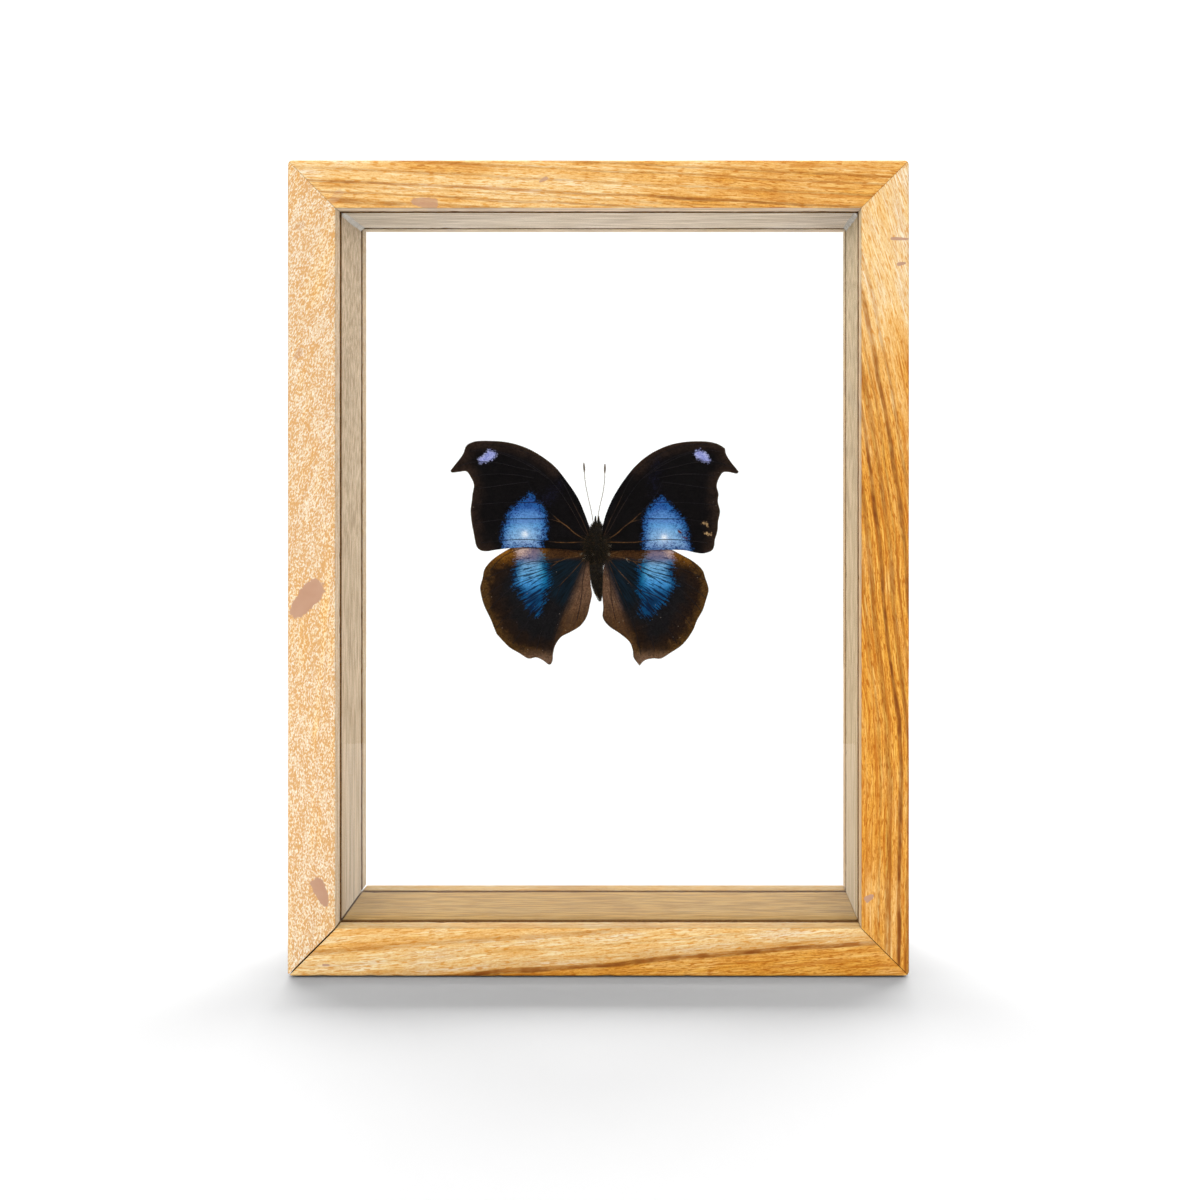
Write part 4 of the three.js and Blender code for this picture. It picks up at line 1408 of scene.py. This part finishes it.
# %% Forewing material
def forewing_material():
    material, tree, surface, scales, height, frayed = begin_wing("forewing_scales", 0.15)
    tone, cloud, streak = scales["Tone"], scales["Cloud"], scales["Streak"]

    colour = blend(tree, tone, (0.0015, 0.0012, 0.0015), (0.0058, 0.0046, 0.0046))
    margin = maths(tree, "MULTIPLY_ADD", cloud, 3.0, mark(tree, "margin"))
    brown = blend(tree, tone, (0.01, 0.005, 0.003), (0.034, 0.02, 0.014))
    colour = blend(tree, fade(tree, margin, 1.5, 5.5, 1.0, 0.0), colour, brown)
    rim = blend(tree, tone, (0.02, 0.01, 0.004), (0.085, 0.05, 0.024))
    colour = blend(tree, fade(tree, mark(tree, "margin"), 0.05, 0.45, 0.8, 0.0), colour, rim)
    cool = blend(tree, tone, (0.002, 0.002, 0.008), (0.014, 0.015, 0.05))
    colour = blend(tree, times(tree, frayed("dusting", 6.0), 0.3), colour, cool)

    inside = mark(tree, "band")
    heart = steps(tree, fade(tree, height, -0.002, 0.0145), [
        (0.0, (0.3, 0.48, 0.74)), (0.16, (0.22, 0.46, 0.74)), (0.4, (0.12, 0.38, 0.72)),
        (0.52, (0.1, 0.27, 0.6)), (0.68, (0.11, 0.29, 0.62)), (0.84, (0.035, 0.13, 0.42)),
        (1.0, (0.014, 0.055, 0.22)),
    ])
    fringe = blend(tree, cloud, (0.004, 0.06, 0.22), (0.02, 0.14, 0.42))
    blue = blend(tree, fade(tree, inside, -0.3, 3.4), fringe, heart)
    loose = choose(tree, fade(tree, inside, 0.5, 5.0), 1.0, 0.3)
    dots = times(tree, fade(tree, tone, 0.25, 0.6, 1.0, 0.0), loose)
    blue = blend(tree, dots, blue, (0.006, 0.035, 0.16))
    blue = blend(tree, fade(tree, streak, 0.1, 0.6, 0.2, 0.0), blue, (0.06, 0.1, 0.4))
    # Painted highlight: a pale blue-white spot in the band, where light glances off the scales.
    painted_highlight_share = times(tree, mark(tree, "glow"), fade(tree, tone, 0.1, 0.6, 0.5, 1.0))
    blue = blend(tree, painted_highlight_share, blue, (0.9, 0.95, 1.0))
    colour = blend(tree, frayed("band", 2.4), colour, blue)
    violet = blend(tree, tone, (0.1, 0.13, 0.5), (0.5, 0.53, 0.8))
    colour = blend(tree, frayed("spot", 1.3), colour, violet)
    bare = blend(tree, tone, (0.03, 0.012, 0.004), (0.75, 0.48, 0.22))
    colour = blend(tree, frayed("worn", 0.9), colour, bare)
    scar = blend(tree, tone, (0.003, 0.003, 0.008), (0.12, 0.03, 0.02))
    colour = blend(tree, frayed("scratch", 0.6), colour, scar)
    finish_wing(tree, surface, scales, colour)
    return material


FORE = forewing_material()
print("forewing recipe has", len(FORE.node_tree.nodes), "nodes")

# %% [markdown]
# The hindwing shares the scales and the frayed edges but not the colours: its band fades
# from lilac through sky blue to teal, its front edge is ochre, its margin olive brown,
# and the fold along the body is a bare pinkish brown.

# %% Hindwing material
def hindwing_material():
    material, tree, surface, scales, height, frayed = begin_wing("hindwing_scales", 1.0)
    tone, cloud, streak = scales["Tone"], scales["Cloud"], scales["Streak"]

    colour = blend(tree, tone, (0.003, 0.0026, 0.003), (0.011, 0.01, 0.011))
    teal = blend(tree, streak, (0.002, 0.004, 0.006), (0.004, 0.016, 0.028))
    colour = blend(tree, fade(tree, mark(tree, "root"), 16, 19, 0.8, 0.0), colour, teal)
    margin = maths(tree, "MULTIPLY_ADD", cloud, 6.0, mark(tree, "margin"))
    choc = blend(tree, tone, (0.006, 0.0025, 0.0015), (0.024, 0.012, 0.006))
    colour = blend(tree, fade(tree, margin, 6.0, 10.5, 1.0, 0.0), colour, choc)
    brown = blend(tree, tone, (0.022, 0.009, 0.002), (0.12, 0.056, 0.013))
    colour = blend(tree, fade(tree, margin, 3.2, 6.2, 1.0, 0.0), colour, brown)
    ochre = blend(tree, tone, (0.07, 0.024, 0.002), (0.33, 0.125, 0.01))
    top = fade(tree, maths(tree, "MULTIPLY_ADD", cloud, 0.006, height), -0.004, 0.002)
    outer = fade(tree, margin, 7.0, 11.0, 1.0, 0.0)
    colour = blend(tree, times(tree, top, outer), colour, ochre)
    near = fade(tree, mark(tree, "root"), 12.5, 15.5, 1.0, 0.0)
    rust = blend(tree, tone, (0.012, 0.004, 0.001), (0.085, 0.036, 0.011))
    strip = times(tree, fade(tree, height, -0.0045, -0.003), near)
    colour = blend(tree, strip, colour, rust)
    tail = blend(tree, tone, (0.07, 0.035, 0.018), (0.26, 0.155, 0.1))
    colour = blend(tree, fade(tree, height, -0.0325, -0.028, 0.9, 0.0), colour, tail)

    inside = mark(tree, "band")
    heart = steps(tree, fade(tree, height, -0.0195, 0.0), [
        (0.0, (0.002, 0.008, 0.02)), (0.14, (0.002, 0.03, 0.08)), (0.3, (0.02, 0.15, 0.36)),
        (0.44, (0.07, 0.34, 0.72)), (0.62, (0.13, 0.4, 0.7)), (0.8, (0.18, 0.42, 0.68)),
        (0.9, (0.17, 0.16, 0.25)), (1.0, (0.24, 0.16, 0.19)),
    ])
    fringe = blend(tree, cloud, (0.001, 0.035, 0.11), (0.006, 0.12, 0.3))
    high = fade(tree, height, -0.006, -0.003)
    core = maths(tree, "MAXIMUM", fade(tree, inside, -0.2, 2.6), high)
    blue = blend(tree, core, fringe, heart)
    towards_body = fade(tree, mark(tree, "aside"), 13.5, 17.5, 1.0, 0.0)
    blue = blend(tree, towards_body, blue, blend(tree, 1.0, blue, (0.1, 0.8, 0.8), "MULTIPLY"))
    blue = blend(tree, fade(tree, tone, 0.15, 0.75, 0.45, 0.0), blue, (0.006, 0.035, 0.13))
    combed = fade(tree, maths(tree, "MULTIPLY_ADD", height, 32.0, streak), -0.22, 0.2, 0.9, 0.0)
    blue = blend(tree, combed, blue, (0.002, 0.008, 0.03))
    colour = blend(tree, frayed("band", 2.6), colour, blue)
    cream = blend(tree, tone, (0.4, 0.24, 0.2), (0.68, 0.5, 0.42))
    soft_cream = fade(tree, maths(tree, "ADD", mark(tree, "cream"), tone), -0.4, 2.4, 0.0, 0.9)
    colour = blend(tree, soft_cream, colour, cream)
    skin_low = blend(tree, tone, (0.04, 0.016, 0.005), (0.13, 0.06, 0.022))
    skin_high = blend(tree, tone, (0.07, 0.033, 0.017), (0.22, 0.118, 0.066))
    skin = blend(tree, fade(tree, height, -0.022, -0.013), skin_low, skin_high)
    skin = blend(tree, fade(tree, streak, 0.0, 0.9, 0.6, 0.0), skin, (0.05, 0.027, 0.016))
    colour = blend(tree, fade(tree, mark(tree, "fold"), -0.8, 2.3), colour, skin)
    finish_wing(tree, surface, scales, colour)
    return material


HIND = hindwing_material()
for wing in WING_OUTLINES:
    kind = wing.split("_")[0]
    settle(make_wing(wing), {"forewing": FORE, "hindwing": HIND}[kind], wing)

# %% [markdown]
# The body is a thorax, a head with bulging eyes and a ringed abdomen, hidden under dry
# fur. The trunk is made of four rounded shapes. The fur is thousands of tapered
# three-sided spikes, each rooted in the trunk, because hair that is only painted on
# leaves a hard outline against the white.

# %% Trunk
THORAX = ((-0.3, 7.9, -0.6), (2.6, 3.0, 5.0))
HEAD = ((-0.1, 7.6, 4.9), (1.3, 1.4, 1.2))
EYE = ((0.85, 7.5, 5.0), (0.65, 0.85, 0.75))
COLLAR = ((-0.45, 7.3, 3.3), (2.0, 1.7, 1.9))
ABDOMEN_TOP = -3.2
ABDOMEN_LENGTH = 12
ABDOMEN_RADIUS = 1.9
ABDOMEN_Y = 7.8
ABDOMEN_RINGS = 8
RING_DENT = 0.14


def abdomen_axis(t):
    return -0.45 + 1.15 * t * t


def abdomen_taper(t):
    return np.clip(1 - (0.995 * t) ** 3.6, 0, 1) ** 0.9


def ball(centre, radii, around=40, rings=28):
    points = []
    for row in range(1, rings):
        up = math.pi * row / rings
        for column in range(around):
            turn = 2 * math.pi * column / around
            unit = (math.sin(up) * math.cos(turn), math.sin(up) * math.sin(turn), math.cos(up))
            points.append([c + r * u for c, r, u in zip(centre, radii, unit)])
    return np.array(points), tube_faces(rings - 1, around, True)


def abdomen(around=36, rows=96):
    points = []
    for row in range(rows + 1):
        t = row / rows
        dent = RING_DENT * abs(math.cos(math.pi * ABDOMEN_RINGS * t)) ** 6
        radius = (ABDOMEN_RADIUS - dent) * abdomen_taper(t)
        for column in range(around):
            turn = 2 * math.pi * column / around
            x = abdomen_axis(t) + radius * math.cos(turn)
            y = ABDOMEN_Y + radius * math.sin(turn)
            points.append((x, y, ABDOMEN_TOP - t * ABDOMEN_LENGTH))
    return np.array(points), tube_faces(rows + 1, around, True)


print("abdomen is", ABDOMEN_LENGTH, "mm long and", 2 * ABDOMEN_RADIUS, "mm thick")


# %% [markdown]
# Legs, palps and antennae are all rods: a ring of points carried along a curve, with its
# own radius at each step. Parts that grew together are then joined into one list.

# %% Rods
def rod(path, radii, sides=8):
    path = np.asarray(path, float)
    ahead = np.gradient(path, axis=0)
    ahead /= np.linalg.norm(ahead, axis=1)[:, None]
    across = np.cross(ahead, [0.02, 1.0, 0.01])
    across /= np.linalg.norm(across, axis=1)[:, None]
    over = np.cross(ahead, across)
    turns = np.arange(sides) / sides * 2 * math.pi
    ring = across[:, None] * np.cos(turns)[:, None] + over[:, None] * np.sin(turns)[:, None]
    points = path[:, None] + ring * np.asarray(radii)[:, None, None]
    return points.reshape(-1, 3), tube_faces(len(path), sides)


def join(parts):
    points, faces, total = [], [], 0
    for part_points, part_faces in parts:
        points.append(part_points)
        faces += [[corner + total for corner in face] for face in part_faces]
        total += len(part_points)
    return np.vstack(points), faces


# %% [markdown]
# The legs are folded against the underside, as they are on nearly every dried specimen,
# and two furred palps point forwards from the head. Each is a rod that follows a curve.

# %% Legs and palps
PALP = [(0.35, 7.4, 5.3), (0.46, 7.1, 6.4), (0.44, 7.1, 7.3), (0.4, 7.2, 8.0)]
LEGS = [
    [(0.8, 10.3, -0.6), (2.5, 10.9, -2.6), (1.3, 11.4, -6.6), (1.9, 11.4, -9.4)],
    [(0.6, 10.2, -2.0), (1.9, 11.1, -4.4), (0.7, 11.6, -8.8), (1.0, 11.6, -12.0)],
]


def curve_beside(points, side, middle, longest):
    path = smooth_run([(side * x + middle, y, z) for x, y, z in points], longest)
    return path, np.linspace(0, 1, len(path))


def leg(points, side):
    path, share = curve_beside(points, side, THORAX[0][0], 0.25)
    return rod(path, 0.24 - 0.12 * share + 0.04 * np.sin(share * 19))


def palp(side):
    path, share = curve_beside(PALP, side, HEAD[0][0], 0.15)
    return rod(path, 0.36 * np.sqrt(np.clip(1 - share ** 2.4, 0.02, 1)), 10)


print("a leg has", len(leg(LEGS[0], 1)[0]), "points")

# %% [markdown]
# Fur. Each spike starts just under the skin, leans with the flow of the coat towards the
# tail, and bends a little under its own weight. All draws come from one seeded source,
# so the coat is the same in every run.

# %% Fur
SPIKE_POINTS = 7


def fur(rng, roots, normals, flow, length, thickness, lean):
    count = len(roots)
    ahead = normals * (1 - lean)[:, None] + flow * lean[:, None]
    ahead += rng.normal(0, 0.22, (count, 3))
    ahead /= np.linalg.norm(ahead, axis=1)[:, None]
    bend = rng.normal(0, 0.25, (count, 3)) + flow * 0.3
    across = np.cross(ahead, rng.normal(0, 1, (count, 3)))
    across /= np.linalg.norm(across, axis=1)[:, None]
    over = np.cross(ahead, across)
    length = (length * rng.uniform(0.6, 1.25, count))[:, None]
    thickness = (thickness * rng.uniform(0.7, 1.3, count))[:, None]
    points, share = [], []
    # A ring of three points at the root, one half way up, and the tip: seven in all.
    for t, wide in ((0.0, 1.0), (0.5, 0.8)):
        middle = roots + ahead * length * t + bend * length * t * t * 0.5
        for turn in (0, 2 * math.pi / 3, 4 * math.pi / 3):
            side = across * math.cos(turn) + over * math.sin(turn)
            points.append(middle + side * thickness * wide)
            share.append(np.full(count, t))
    points.append(roots + ahead * length + bend * length * 0.5)
    share.append(np.ones(count))
    points = np.stack(points, 1).reshape(-1, 3)
    share = np.stack(share, 1).ravel()
    first = np.arange(count)[:, None] * SPIKE_POINTS
    shape = [(0, 2, 1)]
    for a, b in ((0, 1), (1, 2), (2, 0)):
        shape += [(a, b, b + 3), (a, b + 3, a + 3), (a + 3, b + 3, 6)]
    faces = (first[:, None, :] + np.array(shape)[None]).reshape(-1, 3)
    tone = np.repeat(rng.uniform(0, 1, count), SPIKE_POINTS)
    return points, faces.tolist(), share, tone


# %% [markdown]
# Each part of the body wears its own coat: how many hairs, where they root, which way
# they flow, how long and thick they are, and how flat they lie. Long hairs fan out over
# the bases of the wings. Six tufts are pale: a tone above one tells the material to make
# them pale.

# %% Coats
UNDER_SKIN = 0.97
# Ball, hairs, flow, how far the flow parts and about which x, length, thickness, lean.
BALL_COATS = [
    (THORAX, 4200, (-0.1, -1.0), 0.5, 0.0, 1.3, 0.035, (0.35, 0.7)),
    (HEAD, 900, (-0.3, 1.0), 0.0, 0.0, 0.7, 0.03, (0.2, 0.6)),
    (COLLAR, 900, (-0.2, 0.7), 0.7, COLLAR[0][0], 0.9, 0.032, (0.3, 0.7)),
]
ABDOMEN_HAIRS = 3600
WING_ROOT_HAIRS = 900
TUFT_HAIRS = 20
# Across, up and how wide each pale tuft is.
PALE_TUFTS = [
    (-3.85, -2.2, 0.14), (-0.8, -2.3, 0.16), (3.1, -0.1, 0.26), (2.9, -2.4, 0.22),
    (-2.9, -3.2, 0.3), (7.7, -3.6, 0.1),
]


def ball_coat(rng, shape, count, flow, parting, middle, length, thickness, lean):
    centre, radii = np.array(shape)
    unit = rng.normal(0, 1, (count, 3))
    unit /= np.linalg.norm(unit, axis=1)[:, None]
    normals = unit / radii
    normals /= np.linalg.norm(normals, axis=1)[:, None]
    roots = centre + unit * radii * UNDER_SKIN
    flows = np.tile([0.0, *flow], (count, 1))
    flows[:, 0] = np.sign(roots[:, 0] - middle) * parting
    leans = rng.uniform(*lean, count)
    return fur(rng, roots, normals, flows, np.full(count, length), thickness, leans)


def abdomen_coat(rng):
    t = rng.uniform(0, 1, ABDOMEN_HAIRS) ** 0.9
    turn = rng.uniform(0, 2 * math.pi, len(t))
    radius = (ABDOMEN_RADIUS - RING_DENT / 2) * abdomen_taper(t)
    normals = np.stack([np.cos(turn), np.sin(turn), -0.1 - t ** 6], 1)
    roots = np.stack([abdomen_axis(t) + radius * np.cos(turn),
                      ABDOMEN_Y + radius * np.sin(turn), ABDOMEN_TOP - t * ABDOMEN_LENGTH], 1)
    down = np.tile([0.1, 0.0, -1.0], (len(roots), 1))
    leans = rng.uniform(0.5, 0.85, len(roots))
    return fur(rng, roots, normals, down, 0.75 - 0.15 * t, 0.03, leans)


def wing_root_coat(rng):
    count = WING_ROOT_HAIRS
    side = rng.choice([-1.0, 1.0], count)
    roots = np.stack([THORAX[0][0] + side * rng.uniform(1.4, 2.5, count),
                      rng.uniform(4.9, 6.0, count), rng.uniform(-4.0, 2.5, count)], 1)
    normals = np.tile([0.0, -0.6, 0.0], (count, 1))
    out = np.stack([side, np.full(count, -0.05), rng.uniform(-1.1, 0.1, count)], 1)
    length = rng.uniform(1.2, 2.2, count)
    return fur(rng, roots, normals, out, length, 0.03, np.full(count, 0.9))


def pale_tuft(rng, x, z, size):
    count = TUFT_HAIRS
    roots = np.stack([x + rng.normal(0, size, count), np.full(count, 5.2),
                      z + rng.normal(0, size, count)], 1)
    forward = np.tile([0.0, -1.0, 0.0], (count, 1))
    aside = np.tile([np.sign(x), 0.0, -0.6], (count, 1))
    tuft = fur(rng, roots, forward, aside, np.full(count, 0.7), 0.035, np.full(count, 0.6))
    return *tuft[:3], tuft[3] + 1


print("hairs:", sum(coat[1] for coat in BALL_COATS) + ABDOMEN_HAIRS + WING_ROOT_HAIRS)


# %% [markdown]
# The whole body grew as one piece, so trunk, eyes, limbs and coats become one mesh. It
# also carries which points are hair, how dark each hair is, and which points are eye.

# %% Body
def make_body():
    rng = np.random.default_rng(20)
    trunk = [ball(*THORAX), ball(*HEAD), ball(*COLLAR), abdomen()]
    eyes = [ball((side * EYE[0][0] + HEAD[0][0], *EYE[0][1:]), EYE[1], 24, 18) for side in (-1, 1)]
    limbs = [palp(-1), palp(1)] + [leg(points, side) for points in LEGS for side in (-1, 1)]
    solid = trunk + eyes + limbs
    skin = sum(len(part[0]) for part in solid)
    eye_from = sum(len(part[0]) for part in trunk)
    eye_to = eye_from + sum(len(part[0]) for part in eyes)

    coats = [ball_coat(rng, *coat) for coat in BALL_COATS]
    coats += [abdomen_coat(rng), wing_root_coat(rng)]
    coats += [pale_tuft(rng, *place) for place in PALE_TUFTS]
    points, faces = join(solid + [coat[:2] for coat in coats])
    hair = np.concatenate([np.zeros(skin)] + [coat[2] for coat in coats])
    tone = np.concatenate([np.full(skin, 0.5)] + [coat[3] for coat in coats])
    eye = np.zeros(len(points))
    eye[eye_from:eye_to] = 1
    marks = {"hair": hair, "tone": tone, "eye": eye}
    return make_piece("furred_body", points + SPECIMEN, faces, marks)


def body_material():
    material, tree, surface = new_material("dry_fur")
    cloud = noise(tree, object_place(tree), 1500.0, 2.0)
    tone = mark(tree, "tone")
    base = blend(tree, cloud, (0.002, 0.0012, 0.0005), (0.009, 0.0055, 0.002))
    tips = blend(tree, fade(tree, tone, 0.5, 1.0), (0.008, 0.005, 0.0015), (0.07, 0.045, 0.018))
    tuft = fade(tree, cloud, 0.54, 0.64, 0.0, 0.75)
    tips = blend(tree, tuft, tips, (0.15, 0.09, 0.035))
    tips = blend(tree, fade(tree, tone, 1.1, 2.0), tips, (0.75, 0.66, 0.5))
    colour = blend(tree, fade(tree, mark(tree, "hair"), 0.1, 1.0), base, tips)
    eye = blend(tree, cloud, (0.01, 0.006, 0.003), (0.035, 0.02, 0.01))
    colour = blend(tree, mark(tree, "eye"), colour, eye)
    shine = fade(tree, mark(tree, "eye"), 0, 1, 0.65, 0.25)
    finish_surface(tree, surface, colour, shine, 0.15, cloud, 0.00005)
    return material


settle(make_body(), body_material(), "body")

# %% [markdown]
# The drop of clear glue behind the thorax holds the insect to the back pane. It is round
# but a little uneven, and its foot wets the glass. It is clearer than the beads, and
# yellow as honey.

# %% Adhesive drop
DROP_AT = (-0.3, 2.0)
# Radius and depth, from the thorax back to the foot on the glass.
DROP_PROFILE = [
    (1.2, 10.75), (1.5, 10.85), (1.52, 11.2), (1.62, 11.6), (1.85, 11.95), (2.05, 12.2),
]


def make_drop(around=40):
    x, z = DROP_AT
    points = []
    for radius, y in DROP_PROFILE:
        for column in range(around):
            turn = 2 * math.pi * column / around
            wide = radius * (1 + 0.05 * math.sin(3 * turn) + 0.03 * math.sin(5 * turn + 1))
            points.append((x + wide * math.cos(turn), y, z + wide * math.sin(turn)))
    faces = tube_faces(len(DROP_PROFILE), around)
    return make_piece("glue_drop", np.array(points) + SPECIMEN, faces)


HONEY = make_glue("honey_glue", 0.85, (0.42, 0.3, 0.14), (0.62, 0.48, 0.28))
settle(make_drop(), HONEY, "adhesive")

# %% [markdown]
# An antenna is a pale jointed thread that swells into a slim brown club.

# %% Antennae
ANTENNAE = {
    "antenna_left": [
        (-1.1, 6.5, 6.1), (-1.7, 6.2, 9.6), (-2.6, 6.2, 13.5), (-3.3, 6.1, 17.3),
        (-3.6, 6.0, 21.3),
    ],
    "antenna_right": [
        (0.0, 6.1, 6.5), (0.7, 6.1, 10.6), (1.5, 6.1, 14.0), (2.0, 6.0, 17.6), (2.1, 6.0, 21.0),
    ],
}
CLUB_LENGTH = 2.7
CLUB_RADIUS = 0.18
THREAD_RADIUS = 0.085
JOINT_SWELLING = 0.02
THREAD_SIDES = 10


def make_antenna(name):
    path = smooth_run(ANTENNAE[name], 0.12)
    ahead = path[-1] - path[-4]
    ahead /= np.linalg.norm(ahead)
    tip = path[-1] + ahead * np.linspace(0.1, CLUB_LENGTH / 2, 12)[:, None]
    path = np.vstack([path, tip])
    left = np.linalg.norm(np.diff(path, axis=0), axis=1)[::-1].cumsum()[::-1]
    left = np.append(left, 0)
    club = np.clip(1 - ((left - CLUB_LENGTH / 2) / (CLUB_LENGTH / 2)) ** 2, 0, 1)
    joints = JOINT_SWELLING * (np.arange(len(path)) % 4 == 0)
    radii = THREAD_RADIUS + joints + CLUB_RADIUS * club ** 0.8
    radii *= np.clip(left / 0.15 + 0.15, 0, 1)
    points, faces = rod(path, radii, THREAD_SIDES)
    marks = {"club": np.repeat(np.clip(club * 1.6, 0, 1), THREAD_SIDES)}
    return make_piece(name + "_thread", points + SPECIMEN, faces, marks)


def antenna_material():
    material, tree, surface = new_material("antenna_horn")
    cloud = noise(tree, object_place(tree), 1500.0, 2.0)
    shaft = blend(tree, cloud, (0.1, 0.06, 0.03), (0.26, 0.18, 0.1))
    club = blend(tree, cloud, (0.06, 0.04, 0.02), (0.14, 0.095, 0.055))
    finish_surface(tree, surface, blend(tree, mark(tree, "club"), shaft, club), 0.5, 0.5)
    return material


HORN = antenna_material()
for name in ANTENNAE:
    settle(make_antenna(name), HORN, name)
